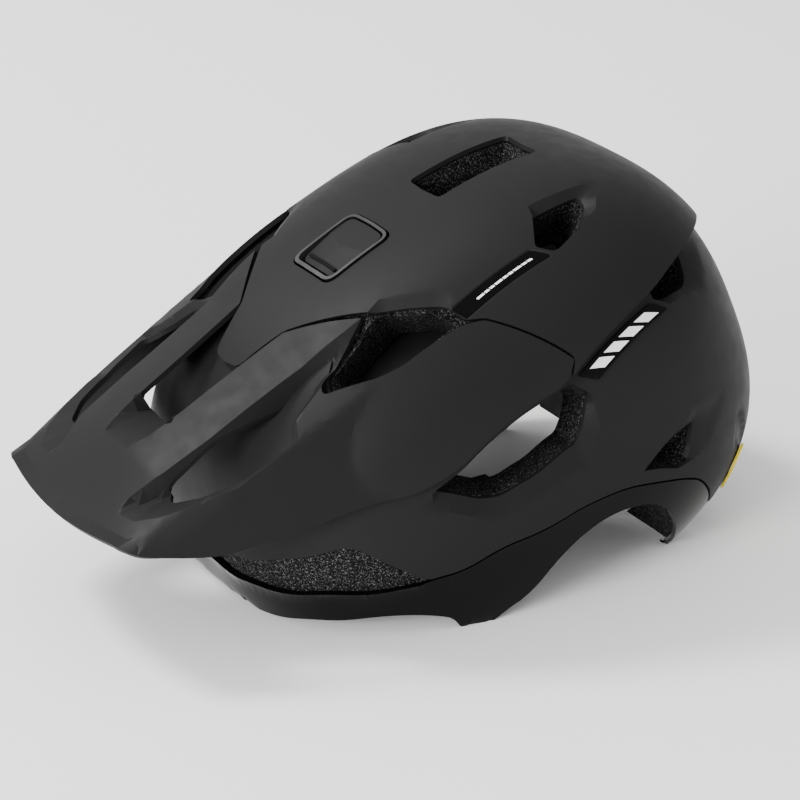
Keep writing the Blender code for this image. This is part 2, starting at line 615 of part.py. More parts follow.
def make_dial():
    """The headband, and the dial that draws two racks together."""
    low, high = BAND_POLAR
    band = arc(low, 0.0, BAND_BEARING, 24) + arc(high, BAND_BEARING, 0.0, 24)
    band_out = FOAM_INNER - 3.4
    panel("headband", band, band_out, band_out - BAND_THICKNESS, BLACK, half=True, spacing=6.0)
    back = dome(np.array([[0.0, 104.0]]), FOAM_INNER)[0][1] - DIAL_INSET
    middle = Vector((0.0, back, DIAL_HEIGHT + 14.0))
    rack_root = PINION_RADIUS + TOOTH_DROP + 0.1
    rack_back = rack_root + RACK_HEIGHT - 1.2
    channel = rack_back + RACK_CLEARANCE
    wall = HOUSING_WALL
    depth = RACK_THICKNESS + 2.0 * RACK_CLEARANCE + 1.6
    profile = [(0.0, channel + wall), (0.0, channel), (depth, channel), (depth, -channel), (0.0, -channel),
               (0.0, -channel - wall), (depth + wall, -channel - wall), (depth + wall, channel + wall)]
    start = middle + Vector((-HOUSING_HALF, 0.0, 0.0))
    housing = prism("dial_housing", profile, 2.0 * HOUSING_HALF, axes(start, (0, 1, 0), (0, 0, 1)), BLACK)
    bore = prism("shaft_bore", ring(SHAFT_RADIUS + 0.4), depth + wall + 4.0, axes(middle, (1, 0, 0), (0, 0, 1)),
                 GREY)
    bore.location.y = (depth + wall + 2.0) * MM
    cut(housing, bore)
    block("housing_cover", (-HOUSING_HALF, back - 1.6, middle.z - channel - wall),
          (HOUSING_HALF, back - 0.3, middle.z + channel + wall), GREY, bevel=0.3)
    rack_front = back + RACK_CLEARANCE + 0.4
    pitch = 2.0 * np.pi * PINION_RADIUS / PINION_TEETH
    wheel = axes(middle + Vector((0.0, RACK_CLEARANCE + 0.2 + RACK_THICKNESS + 0.4, 0.0)), (1, 0, 0), (0, 0, 1))
    pinion = prism("dial_pinion", gear(PINION_TEETH, PINION_RADIUS - TOOTH_DROP, PINION_RADIUS + TOOTH_RISE),
                   RACK_THICKNESS + 0.4, wheel, GREY)
    spindle = prism("spindle", ring(SHAFT_RADIUS), depth + wall + DIAL_THICKNESS * 0.5,
                    axes(middle + Vector((0.0, depth + wall + DIAL_THICKNESS * 0.5 + 1.0, 0.0)),
                         (1, 0, 0), (0, 0, 1)), GREY)
    combine(pinion, spindle, "UNION")
    knob_start = depth + wall + 0.8
    grips = []
    for index in range(DIAL_GRIPS * 4):
        turn = 2.0 * np.pi * index / (DIAL_GRIPS * 4)
        reach = DIAL_RADIUS - (0.0 if index % 4 < 2 else 1.2)
        grips.append((reach * np.cos(turn), reach * np.sin(turn)))
    knob = prism("dial_knob", grips, DIAL_THICKNESS,
                 axes(middle + Vector((0.0, knob_start + DIAL_THICKNESS, 0.0)), (1, 0, 0), (0, 0, 1)), BLACK)
    socket = prism("knob_socket", ring(SHAFT_RADIUS + 0.35), DIAL_THICKNESS,
                   axes(middle + Vector((0.0, knob_start + DIAL_THICKNESS - 2.0, 0.0)), (1, 0, 0), (0, 0, 1)), GREY)
    cut(knob, socket)
    for name, side in (("left", 1), ("right", -1)):
        crest = PINION_RADIUS - TOOTH_RISE
        outline = [(-RACK_TAIL, rack_root)]
        for tooth in range(RACK_TEETH):
            for part, reach in zip(TOOTH_FLANKS, (rack_root, crest, crest, rack_root)):
                outline.append(((tooth - 2 + part) * pitch, reach))
        outline += [(RACK_LENGTH - RACK_TAIL, rack_root), (RACK_LENGTH - RACK_TAIL, rack_back),
                    (-RACK_TAIL, rack_back)]
        frame = axes(middle + Vector((0.0, rack_front - back + RACK_THICKNESS, 0.0)), (side, 0, 0), (0, 0, side))
        prism("rack_" + name, outline, RACK_THICKNESS, frame, GREY)


def make_straps():
    """Webbing, dividers with cam levers, and the buckle, lying inside the bowl."""
    level = WEB_HEIGHT
    middle_y = CENTRE_BACK - 8.0
    for side, name in ((1, "left"), (-1, "right")):
        low = (side * DIVIDER_X - DIVIDER_SIZE[0] / 2, middle_y - DIVIDER_SIZE[1] / 2, level - 1.6)
        high = (side * DIVIDER_X + DIVIDER_SIZE[0] / 2, middle_y + DIVIDER_SIZE[1] / 2,
                level - 1.6 + DIVIDER_SIZE[2])
        block("strap_divider_" + name, low, high, BLACK)
        block("cam_lever_" + name,
              (side * DIVIDER_X - CAM_SIZE[0] / 2, middle_y - CAM_SIZE[1] / 2, high[2] + CAM_GAP),
              (side * DIVIDER_X + CAM_SIZE[0] / 2, middle_y + CAM_SIZE[1] / 2, high[2] + CAM_GAP + CAM_SIZE[2]),
              GREY, bevel=0.4)
        for end, away in (("front", -1), ("rear", 1)):
            u, v = STRAP_ANCHORS[end]
            top = dome(np.array([[side * u, v]]), FOAM_INNER - 14.0)[0]
            foot = np.array([side * (DIVIDER_X + DIVIDER_SIZE[0] / 2 + 0.8), middle_y + away * 8.2, level])
            route = [top + [0.0, 0.0, -5.0], top + [-side * 7.0, -away * 7.0, -26.0],
                     (top[0] * 0.5 + foot[0] * 0.5, top[1] * 0.5 + foot[1] * 0.5, level + 14.0),
                     foot + [side * 10.0, 0.0, 1.5], foot]
            ribbon("strap_%s_%s" % (end, name), route, WEB_WIDTH, WEB_THICKNESS, (0.0, 1.0, 0.0), GREY)
            anchor = dome(np.array([[side * u, v]]), FOAM_INNER - 8.0)[0]
            block("strap_anchor_%s_%s" % (end, name), anchor + [-2.0, -9.0, -3.0], anchor + [2.0, 9.0, 3.0], GREY)
        inner = DIVIDER_X - DIVIDER_SIZE[0] / 2 - 0.6
        outer = BUCKLE_HALF + (0.6 if side > 0 else 9.0)
        ribbon("chin_strap_" + name, [(side * inner, middle_y, level), (side * outer, middle_y, level)],
               WEB_WIDTH, WEB_THICKNESS, (0.0, 1.0, 0.0), GREY)
    base = level - 2.6
    socket = block("buckle_socket", (-6.0, middle_y - BUCKLE_WIDTH / 2, base),
                   (BUCKLE_HALF, middle_y + BUCKLE_WIDTH / 2, base + BUCKLE_HEIGHT), BLACK)
    pocket = block("buckle_pocket", (-12.0, middle_y - BUCKLE_WIDTH / 2 + 3.0, base + 1.6),
                   (12.0, middle_y + BUCKLE_WIDTH / 2 - 3.0, base + BUCKLE_HEIGHT - 1.6), BLACK, bevel=0.2)
    cut(socket, pocket)
    half = BUCKLE_WIDTH / 2 - 3.6
    outline = [(11.0, -half + 1.0), (11.0, half - 1.0), (8.0, half), (-7.0, half), (-7.0, half + 3.0),
               (-BUCKLE_HALF, half + 3.0), (-BUCKLE_HALF, -half - 3.0), (-7.0, -half - 3.0), (-7.0, -half),
               (8.0, -half)]
    prism("buckle_tongue", outline, 2.6, axes(Vector((0.0, middle_y, base + 2.2)), (1, 0, 0), (0, 1, 0)), BLACK)


def main():
    """Clears the scene and makes the helmet."""
    for old in list(bpy.data.objects):
        bpy.data.objects.remove(old, do_unlink=True)
    bpy.context.scene.collection.children.link(PARTS)
    bpy.context.scene.collection.children.link(CUTTERS)
    make_shells()
    make_pivots()
    make_trim()
    make_liner()
    make_dial()
    make_straps()


PARTS = bpy.data.collections.new("cycling_helmet")
CUTTERS = bpy.data.collections.new("cutters")
main()
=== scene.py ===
"""Looks of a trail cycling helmet: fine shells, foam, trim, pads and straps around its CAD frame."""
import json
from math import ceil, radians

import bpy
import numpy as np
from bpy.props import FloatProperty, FloatVectorProperty, PointerProperty
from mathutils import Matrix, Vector
from mathutils.geometry import delaunay_2d_cdt


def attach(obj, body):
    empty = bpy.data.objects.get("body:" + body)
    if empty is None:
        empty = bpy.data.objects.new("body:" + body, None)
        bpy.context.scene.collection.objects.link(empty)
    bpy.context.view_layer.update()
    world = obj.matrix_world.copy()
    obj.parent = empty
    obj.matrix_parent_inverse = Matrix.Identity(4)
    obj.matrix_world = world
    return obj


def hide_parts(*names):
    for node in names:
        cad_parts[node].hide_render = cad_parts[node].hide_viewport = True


bl_info = {
    "name": "Trail Helmet Looks",
    "version": (1, 0, 0),
    "blender": (4, 5, 0),
    "location": "3D View > Sidebar > Helmet",
    "description": "Makes the visible surfaces of a trail cycling helmet around its CAD frame",
    "category": "Object",
}

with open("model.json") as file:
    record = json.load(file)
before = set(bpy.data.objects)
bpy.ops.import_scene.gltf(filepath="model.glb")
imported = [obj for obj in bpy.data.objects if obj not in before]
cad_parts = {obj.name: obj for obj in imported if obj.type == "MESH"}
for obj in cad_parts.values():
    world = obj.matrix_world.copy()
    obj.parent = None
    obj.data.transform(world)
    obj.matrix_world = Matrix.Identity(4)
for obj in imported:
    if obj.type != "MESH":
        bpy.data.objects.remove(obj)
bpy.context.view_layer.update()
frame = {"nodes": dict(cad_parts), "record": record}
MM = 0.001

# Head form, mm and degrees, as the CAD has it
HALF_WIDTH = 103.0
FRONT_REACH = 146.7
REAR_REACH = 121.0
CROWN_RISE = 101.0
SKIRT_DROP = 98.0
FORM_TILT = 23.5
SIDE_POWER = 2.94
PROFILE_POWER = 2.63
CENTRE = np.array([0.0, 44.3, 62.0])

# Layers, mm of lift above the head form
SHELL_THICKNESS = 2.2
CROWN_LIFT = 5.0
RIM_LIFT = -0.5
RIM_INNER = -2.2
LAYER_GAP = 1.0
FOAM_INNER = -24.0
FOAM_FLOOR = 3.0
LINER_OUTER = -26.4
LINER_INNER = -27.6
PAD_OUTER = -29.4
PAD_INNER = -35.4
BAND_OUTER = -27.4
BAND_INNER = -29.0

# Visor, mm from the centre of the head form
VISOR_THICKNESS = 2.4
VISOR_RIDGE = ((-211.5, -8.0), (-203.5, -2.0), (-179.5, 20.5), (-107.5, 62.0), (-81.5, 77.0))
VISOR_CREASE = ((-205.5, 44.0, -5.0), (-162.0, 35.7, 16.7), (-110.6, 29.9, 43.8),
                (-72.3, 27.3, 64.6), (-49.4, 27.3, 76.9))
VISOR_EDGE = ((-203.8, 41.5, -6.2), (-181.8, 32.7, -7.3), (-137.7, 18.4, -0.5),
              (-86.8, 5.3, 10.4), (-70.0, 2.0, 18.3), (-15.0, -0.6, 47.4))
VISOR_REACH = 211.5
VISOR_BOW = 0.0019
VISOR_HALF = 52.0
FRONT_INSET = 0.25
FOLD_SOFT_FRONT = 9.0
FOLD_SOFT_REAR = 2.0
FOLD_START = -150.0  # y behind which the fold starts to sharpen
FOLD_BLEND = 45.0
SIDE_SLANT = -0.8  # the side face falls at least this steeply
SIDE_LEAST = 2.0
SEARCH_STEPS = 40

# Map outlines, left half, front to rear: (u, v) or (u, v, corner length), degrees
TONGUE = [(0, -71), (5.5, -70.5, 2), (10.6, -60, 1), (25.2, -45.6, 1)]
CROWN_SIDE = [(26.4, -44.6, 1), (37.0, -30.8, 2), (42.6, -28.8, 1), (44.6, -24.4, 1), (60.3, -6.6, 1.5),
              (64.0, -8.4, 1), (61.2, -3.2, 3), (55.4, 7.6, 6), (49.8, 17.2, 4), (41.0, 27.4, 4),
              (33.0, 35.6, 3), (24.5, 43.0, 3), (14.0, 44.5, 5)]
CROWN_REAR = (0, 43)
TOP_VENT = [(0, 12.6), (6.1, 13.0, 1.5), (6.8, -13.5, 1.5), (0, -14.0)]
CAMERA_SEAT = [(0, -28.4), (9.6, -28.6, 3.2), (9.5, -47.6, 3.2), (0, -47.8)]
CAMERA_WELL = [(0, -29.7), (8.3, -29.9, 2.4), (8.2, -46.2, 2.4), (0, -46.4)]
SIDE_TOP_VENT = [(27.3, -1.9, 1), (25.3, 11.0, 1.5), (29.0, 10.4, 1.5), (34.6, 5.4, 2),
                 (38.2, -2.4, 1.5), (35.4, -6.0, 1)]
FRONT_VENT = [(27.6, -44.0, 1.5), (37.4, -32.4, 2), (41.4, -30.6, 1.5), (41.6, -45.8, 2),
              (39.8, -51.0, 2), (33.0, -60.6, 2), (30.4, -59.6, 1.5)]
INLAY_STRIP = [(38.9, -30.0, 0.6), (35.6, -7.4, 0.6), (38.5, -3.6, 0.6), (42.5, -28.0, 0.6)]
SIDE_STRIP = [(64.6, -5.6, 0.8), (51.6, 18.2, 0.8), (52.4, 23.4, 0.8), (66.6, 0.6, 0.8)]
SIDE_VENT = [(65.4, -8.4, 1.5), (66.8, -14.0, 3), (68.4, -46.0, 3), (66.6, -55.4, 1.5),
             (77.8, -45.6, 4), (82.0, -38.6, 4), (84.0, -23.6, 5), (80.8, -6.6, 2), (76.4, -3.6, 2),
             (69.4, -1.6, 1.5)]
REAR_SIDE_VENT = [(50.6, 19.4, 1), (49.8, 24.4, 1.5), (46.0, 31.6, 2), (43.6, 32.6, 1.5),
                  (38.6, 32.0, 1.5), (36.6, 27.6, 1.5), (45.2, 16.4, 1.5)]
TRIANGLE_VENT = [(73.6, 42.0, 1), (90.0, 22.6, 1), (86.4, 39.2, 2), (82.8, 44.4, 1.5), (80.2, 44.4, 1.5)]
REAR_VENT = [(18.0, 60.0, 2), (34.0, 57.0, 2), (38.0, 68.0, 3), (30.0, 80.0, 3), (20.0, 80.0, 2)]
LOW_EDGE = [(0, -102), (21.6, -100.8, 6), (34.0, -95.5, 6), (48.6, -85.6, 6), (57.0, -77.0, 4),
            (66.0, -74.4, 4), (79.6, -69.2, 4), (88.2, -57.4, 8), (98.9, -24.0, 12), (97.2, 2.4, 8),
            (91.8, 31.8, 10), (84.2, 53.4, 4), (80.2, 76.4, 4), (72.0, 83.4, 4), (40.0, 95.0, 14)]
LOW_EDGE_REAR = (0, 98)
LOWER_TOP = [(0, 34), (18.0, 33.0, 4), (29.0, 24.0, 4), (36.0, 15.0, 3), (41.5, 6.0, 3), (49.0, -4.0, 3),
             (46.5, -19.0, 2), (42.8, -27.5, 1), (42.0, -45.8, 2), (40.0, -51.2, 2), (33.2, -61.2, 2),
             (30.0, -60.0, 1), (23.0, -53.0, 2), (13.0, -57.0, 2), (6.0, -66.0, 2), (0, -66)]
RIM_TOP = [(0, -107.6), (20.0, -106.6, 6), (43.0, -98.4, 8), (68.6, -81.6, 8), (79.4, -70.4, 2)]
RIM_EDGE = [(0, -115.6), (19.0, -114.6, 6), (40.0, -107.0, 8), (62.0, -93.6, 6), (80.0, -79.0, 6),
            (95.0, -66.8, 4), (105.0, -66.0, 3), (111.8, -34.0, 8), (107.6, -14.0, 10), (101.4, 13.2, 12),
            (96.6, 36.4, 8), (98.0, 64.0, 6), (94.6, 82.6, 3), (82.6, 86.6, 4), (66.0, 90.0, 8),
            (40.0, 101.5, 12)]
RIM_REAR = (0, 105)
RIM_SEAM = 0.6
RIM_BEAD = 0.9
VISOR_SIDE = [(33.4, -86.0, 4), (38.0, -84.2, 4), (47.4, -77.2, 6), (63.8, -57.4, 8), (67.4, -46.0, 8),
              (65.6, -13.6, 4), (64.2, -9.6, 0.5), (60.7, -7.1, 0.5), (44.95, -24.75, 1), (43.2, -29.9, 1)]
VISOR_REAR = [(42.0, -45.8, 2), (40.0, -51.2, 2), (33.2, -61.4, 2), (30.0, -60.2, 1), (25.9, -46.9, 0.5),
              (10.9, -60.4, 0.3), (7.7, -79.0, 1), (0, -79.4)]
LINER_EDGE = [(0, -98), (30.0, -92.0, 8), (58.0, -74.0, 8), (78.0, -50.0, 10), (86.0, -10.0, 12),
              (82.0, 30.0, 12), (68.0, 56.0, 10), (38.0, 76.0, 10)]
LINER_REAR = (0, 82)
BROW_PAD = [(0, -97), (24.0, -93.5, 5), (44.0, -83.0, 3), (48.0, -77.0, 3), (41.0, -75.0, 3),
            (22.0, -84.5, 5), (0, -88)]
TOP_PAD = [(12.0, -24.0, 2), (20.0, -24.0, 2), (20.5, 12.0, 2), (12.5, 14.0, 2)]
SIDE_PAD = [(47.0, -38.0, 3), (57.0, -37.0, 3), (59.0, -8.0, 4), (50.0, -5.0, 3)]
REAR_PAD = [(0, 36), (10.0, 37.0, 4), (12.0, 54.0, 4), (0, 56)]
LINER_ANCHORS = [(21.0, -66.0), (58.0, 30.0)]
ANCHOR_HOLE = 5.0
BAND_POLAR = (101.0, 106.5)
BAND_BEARING = 131.0
BADGE = (66.5, 79.0)
BADGE_POLAR = 5.4
DIAL_RADIUS = 13.0
DIAL_GRIPS = 10
DIAL_INSET = 30.0
DIAL_LEVEL = 38.0
KNOB_START = 7.0
STRAP_FRONT = (80.0, -50.0)
STRAP_REAR = (72.0, 62.0)
STRAP_FOOT = 50.8
STRAP_CHIN = 37.4
STRAP_BACK = 36.3
STRAP_LEVEL = 4.0
STRAP_WIDTH = 15.0
BUCKLE_HALF = 21.0

# Slopes beside the openings, left half: (crease line, way back inside the opening, opening, drop in mm)
SIDE_TOP_SLOPE = ([(27.3, -1.9), (24.5, -1.3), (22.9, 16.0), (30.7, 11.0), (34.6, 5.4)], [(30.0, 3.0)],
                  SIDE_TOP_VENT, 3.4)
SIDE_SLOPE = ([(66.6, -55.4), (63.1, -62.1), (68.2, -58.7), (84.7, -43.7), (87.2, -39.3), (89.1, -21.3),
               (87.1, -4.1), (78.6, 1.4), (69.4, -1.6)], [(72.0, -10.0), (72.0, -44.0)], SIDE_VENT, 3.6)
REAR_SIDE_SLOPE = ([(36.6, 27.6), (33.2, 37.4), (40.5, 38.3), (45.7, 36.4), (51.2, 24.7), (50.6, 19.4)],
                   [(46.0, 24.0)], REAR_SIDE_VENT, 3.4)
TRIANGLE_SLOPE = ([(90.0, 22.6), (71.0, 40.4), (62.0, 51.6), (76.0, 51.0), (82.8, 44.4)], [(84.0, 38.0)],
                  TRIANGLE_VENT, 2.4)
FRONT_SLOPE = ([(25.7, -45.3), (25.0, -41.6), (34.4, -28.4), (39.4, -30.2)], [(34.0, -38.0)],
               FRONT_VENT, 3.2)
REAR_RECESS = [(60.8, 62.1, 1), (58.4, 77.6, 1), (60.5, 78.2, 1), (68.5, 69.0, 1), (65.8, 62.4, 1)]
SLOT_CREASE = [(25.9, -46.2), (25.4, -51.0), (23.5, -61.7), (19.7, -77.4), (17.6, -82.5), (14.3, -87.3),
               (16.0, -87.9), (20.1, -87.0), (24.4, -84.8), (28.5, -81.8), (33.4, -77.0), (37.2, -67.8),
               (32.8, -66.7), (31.4, -60.6)]
SLOT_HOLE = [(18.6, -83.0, 1), (22.5, -83.6, 1.5), (28.0, -80.6, 1), (32.4, -76.2, 2), (35.8, -68.9, 1),
             (31.8, -67.6, 1), (29.7, -61.9, 0.8), (26.9, -61.6, 0.8), (20.3, -76.8, 1)]
SLOT_BACK = [(31.9, -60.0), (26.6, -45.6)]
STRUT_POINTS = 6  # the crease's first points, along the strut
STRUT_FALL = 4.2  # mm down for each degree of the map, strut side
RAMP_FALL = 2.1  # the same for the ramp at the slot's front
SLOT_DROP = 9.5
SLOT_FADE = (-44.0, 22.0, 0.35)  # the rear's v, the degrees that it takes, the least share
GAP_START = [(-7.7, -79.0), (-6.7, -81.6)]
GAP_CREASE = [(-5.0, -83.8), (0.0, -84.0), (5.0, -83.8), (6.7, -81.6), (7.7, -79.0)]
GAP_FOOT = [(7.7, -79.0), (0.0, -79.4), (-7.7, -79.0)]
GAP_DROP = 8.0
LIP_WIDTH = 5.4
LIP_RISE = 2.0
LIP_HALF = 50.0

# Steps in the faces, each (degrees from the edge where it starts, degrees that it takes)
FOAM_STEP = (5.0, 3.0)
SEAT_STEP = (1.0, 4.0)
RECESS_DROP = 1.6
RECESS_EDGE = 1.4
BEAD_WIDTH = 0.9

# Strips, printed marks and the seat's lid
INLAY_DEPTH = 1.2
CHANNEL_WALL = 0.7
CHANNEL_GROW = 0.4
STRIP_ROUND = 0.15
INLAY_DASHES = 9
DASH_START = 0.22
DASH_GAP = 0.014
DASH_ACROSS = (0.60, 0.47)
SIDE_BARS = 4
BAR_START = 0.10
BAR_STEP = 0.205
BAR_LENGTH = 0.145
BAR_LEAN = 0.05
BAR_ACROSS = (0.2, 0.8)
LID_FOLD = -38.5
LID_HALF = 9.0
LID_BEND = 2.5
LID_FALL = 1.6
LID_RAMP = 8.0
LID_GAP = 0.5
COVER_TAB = [(-6.4, -43.4, 0.5), (6.4, -43.4, 0.5), (6.2, -44.3, 0.5), (-6.2, -44.3, 0.5)]

# Pads, mm
PAD_SEAM_OUTER = 1.0
PAD_SEAM_INNER = 1.6
PAD_VOXEL = 4.0
PAD_TRAVEL = 1.1
PAD_FRAMES = 20

# Knob: rings of (mm along, radius or share of the scalloped outline, whether it's a radius)
KNOB_RINGS = [(4.6, 2.9, True), (0.0, 2.9, True), (0.0, 0.93, False), (0.7, 1.0, False), (5.4, 1.0, False),
              (6.5, 0.95, False), (7.0, 0.86, False), (6.9, 9.2, True), (6.3, 8.6, True), (6.2, 1.0, True)]
KNOB_SCALLOP = 0.6
KNOB_POLAR = 104.0

# Tape's section, half of it: (mm from the edge, half of the thickness there)
TAPE_SECTION = [(0.0, 0.35), (0.7, 0.6), (1.4, 0.42)]
TAPE_STEPS = 9

# Outline and lattice
CORNER_SHARE = 0.45
ROW_SHARE = 0.87
CLEAR_SHARE = 0.5
BEVEL_SEGMENTS = 2
BEVEL_ANGLE = 48

# Stage, metres
FLOOR_HALF = 6.0
SURROUND = 1.1
LIGHTS = (("key_light", (-1.2, -0.9, 2.0), 0.6, 60.0), ("front_light", (0.9, -2.6, 0.8), 1.2, 130.0))
LIGHT_TARGET = (0.0, 0.0, 0.1)
LENS = 139.9
VIEW_TARGET = (0.0, 0.0068, 0.0667)
VIEW_BACK = (0.7814, -0.4732, 0.4067)
VIEW_DISTANCE = 1.413


def smooth(value):
    """Ease from 0 to 1."""
    value = np.clip(value, 0.0, 1.0)
    return value * value * (3.0 - 2.0 * value)


def folded(points):
    """Map points brought over to the left half."""
    return np.stack([np.abs(points[:, 0]), points[:, 1]], axis=1)


def form_radius(direction):
    """Distance from the centre of the head form to its surface."""
    tilt = radians(FORM_TILT)
    along = direction[:, 1] * np.cos(tilt) + direction[:, 2] * np.sin(tilt)
    up = direction[:, 2] * np.cos(tilt) - direction[:, 1] * np.sin(tilt)
    reach = np.where(along < 0, FRONT_REACH, REAR_REACH)
    rise = np.where(up > 0, CROWN_RISE, SKIRT_DROP)
    profile = np.abs(along / reach) ** PROFILE_POWER + np.abs(up / rise) ** PROFILE_POWER
    side = np.abs(direction[:, 0] / HALF_WIDTH) ** SIDE_POWER
    return (side + profile ** (SIDE_POWER / PROFILE_POWER)) ** (-1.0 / SIDE_POWER)


def map_direction(points):
    """Unit directions of map points."""
    polar = np.radians(np.hypot(points[:, 0], points[:, 1]))
    bearing = np.arctan2(points[:, 0], points[:, 1])
    return np.stack([np.sin(polar) * np.sin(bearing), np.sin(polar) * np.cos(bearing), np.cos(polar)], axis=1)


def map_of(place):
    """The map point of a place given from the centre of the head form."""
    reach = float(np.linalg.norm(place))
    polar = np.degrees(np.arccos(place[2] / reach))
    bearing = np.arctan2(place[0], place[1])
    return (float(polar * np.sin(bearing)), float(polar * np.cos(bearing)))


def dome(points, lift):
    """Places map points at a lift above the head form."""
    direction = map_direction(points)
    return CENTRE + direction * (form_radius(direction) + lift)[:, None]


def rail(stations, column, y):
    """Reads a visor rail at y, running straight on past its ends."""
    ys = np.array([station[0] for station in stations])
    values = np.array([station[column] for station in stations])
    first = (values[1] - values[0]) / (ys[1] - ys[0])
    last = (values[-1] - values[-2]) / (ys[-1] - ys[-2])
    return (np.interp(y, ys, values) + np.minimum(y - ys[0], 0.0) * first
            + np.maximum(y - ys[-1], 0.0) * last)


def brim_height(x, y):
    """Height of the visor's top and side faces over a plan point, softly joined along the fold."""
    half = HALF_WIDTH - rail(VISOR_CREASE, 1, y)
    shoulder = rail(VISOR_CREASE, 2, y)
    edge = HALF_WIDTH - rail(VISOR_EDGE, 1, y)
    foot = rail(VISOR_EDGE, 2, y)
    ridge = rail(VISOR_RIDGE, 1, y)
    across = np.abs(x)
    top = ridge - (ridge - shoulder) * (across / half) ** 2
    slant = np.minimum((foot - shoulder) / np.maximum(edge - half, SIDE_LEAST), SIDE_SLANT)
    side = shoulder + (across - half) * slant
    softness = FOLD_SOFT_REAR + (FOLD_SOFT_FRONT - FOLD_SOFT_REAR) * smooth((FOLD_START - y) / FOLD_BLEND)
    mix = np.clip(0.5 + 0.5 * (side - top) / softness, 0.0, 1.0)
    return side * (1 - mix) + top * mix - softness * mix * (1 - mix)


def visor_hit(points):
    """Distances of map points' rays to the visor's outer face, and where the brim is what they meet."""
    direction = map_direction(points)
    low = form_radius(direction) * 0.8
    high = np.full(len(points), FRONT_REACH * 2.0)
    for _ in range(SEARCH_STEPS):
        middle = (low + high) / 2
        place = direction * middle[:, None]
        below = place[:, 2] < brim_height(place[:, 0], place[:, 1])
        below &= place[:, 1] > VISOR_BOW * place[:, 0] ** 2 - VISOR_REACH
        low = np.where(below, middle, low)
        high = np.where(below, high, middle)
    ground = form_radius(direction) + CROWN_LIFT
    return direction, np.maximum(low, ground), low > ground


def visor_face(points, lift):
    """Places map points below the visor's outer face, measured square to it."""
    direction, reach, on_brim = visor_hit(points)
    place = direction * reach[:, None]
    x, y, step = place[:, 0], place[:, 1], 0.5
    brim = np.stack([-(brim_height(x + step, y) - brim_height(x - step, y)) / (2 * step),
                     -(brim_height(x, y + step) - brim_height(x, y - step)) / (2 * step),
                     np.ones(len(x))], axis=1)
    lifts = np.full(len(x), CROWN_LIFT)
    across = dome(points + [step, 0.0], lifts) - dome(points - [step, 0.0], lifts)
    along = dome(points + [0.0, step], lifts) - dome(points - [0.0, step], lifts)
    form = np.cross(across, along)
    normal = np.where(on_brim[:, None], brim / np.linalg.norm(brim, axis=1)[:, None],
                      form / np.linalg.norm(form, axis=1)[:, None])
    return CENTRE + place + normal * lift[:, None]


def bowed_line(inset, half):
    """Map points at one distance behind the visor's bowed front, from the middle outwards."""
    line = []
    for x in np.linspace(0.0, half, 15):
        y = VISOR_BOW * x * x - VISOR_REACH + inset
        line.append(map_of(np.array([x, y, float(brim_height(np.array([x]), np.array([y]))[0])])))
    return line


def visor_drop(points):
    """How far the visor's face sinks beside its slots and the middle gap, less the rise of its front lip."""
    across = folded(points)
    crease = np.array(SLOT_CREASE, float)
    region = np.vstack([crease, SLOT_BACK])
    strut, ramp = crease[:STRUT_POINTS], crease[STRUT_POINTS - 1:]
    drop = np.minimum(edge_distance(across, strut, closed=False) * STRUT_FALL,
                      edge_distance(across, ramp, closed=False) * RAMP_FALL)
    drop = np.where(inside(across, region), np.minimum(drop, SLOT_DROP), 0.0)
    rear, fade, least = SLOT_FADE
    drop *= np.clip((rear - across[:, 1]) / fade, least, 1.0)
    to_crease = edge_distance(points, np.array(GAP_START + GAP_CREASE), closed=False)
    to_foot = edge_distance(points, np.array(GAP_FOOT), closed=False)
    region = np.array(GAP_START + GAP_CREASE + [(0.0, -78.0)])
    share = to_crease / np.maximum(to_crease + to_foot, 1e-6)
    drop += np.where(inside(points, region), share, 0.0) * GAP_DROP
    direction, reach, _ = visor_hit(points)
    place = direction * reach[:, None]
    inward = place[:, 1] - (VISOR_BOW * place[:, 0] ** 2 - VISOR_REACH)
    return drop - LIP_RISE * np.clip(1.0 - inward / LIP_WIDTH, 0.0, 1.0)


def rounded(points, spacing, closed=True):
    """Rounds an outline's corners and divides its long sides."""
    path = []
    count = len(points)
    for index, point in enumerate(points):
        here = np.array(point[:2], float)
        corner = point[2] if len(point) > 2 else 0.0
        if corner <= 0 or (not closed and index in (0, count - 1)):
            path.append(here)
            continue
        before = np.array(points[index - 1][:2], float) - here
        after = np.array(points[(index + 1) % count][:2], float) - here
        reach = min(corner, CORNER_SHARE * np.hypot(*before), CORNER_SHARE * np.hypot(*after))
        start = here + before / np.hypot(*before) * reach
        end = here + after / np.hypot(*after) * reach
        for part in np.linspace(0.0, 1.0, 3 + int(reach / spacing) * 2 + 1):
            path.append((1 - part) ** 2 * start + 2 * part * (1 - part) * here + part ** 2 * end)
    divided = []
    sides = len(path) if closed else len(path) - 1
    for index in range(sides):
        start, end = path[index], path[(index + 1) % len(path)]
        parts = max(1, ceil(np.hypot(*(end - start)) / spacing))
        divided += [start + (end - start) * part / parts for part in range(parts)]
    if not closed:
        divided.append(path[-1])
    return np.array(divided)


def inside(points, loop):
    """True for the points inside a closed loop."""
    result = np.zeros(len(points), bool)
    for start, end in zip(loop, np.roll(loop, -1, axis=0)):
        crosses = (start[1] > points[:, 1]) != (end[1] > points[:, 1])
        rise = end[1] - start[1]
        at = start[0] + (points[:, 1] - start[1]) / (rise if rise else 1.0) * (end[0] - start[0])
        result ^= crosses & (points[:, 0] < at)
    return result


def edge_distance(points, loop, closed=True):
    """Distance from each point to the nearest side of a loop."""
    nearest = np.full(len(points), 1e9)
    ends = np.roll(loop, -1, axis=0) if closed else loop[1:]
    for start, end in zip(loop, ends):
        side = end - start
        share = np.clip(((points - start) @ side) / max(side @ side, 1e-12), 0.0, 1.0)
        gap = points - start - share[:, None] * side
        nearest = np.minimum(nearest, np.hypot(gap[:, 0], gap[:, 1]))
    return nearest


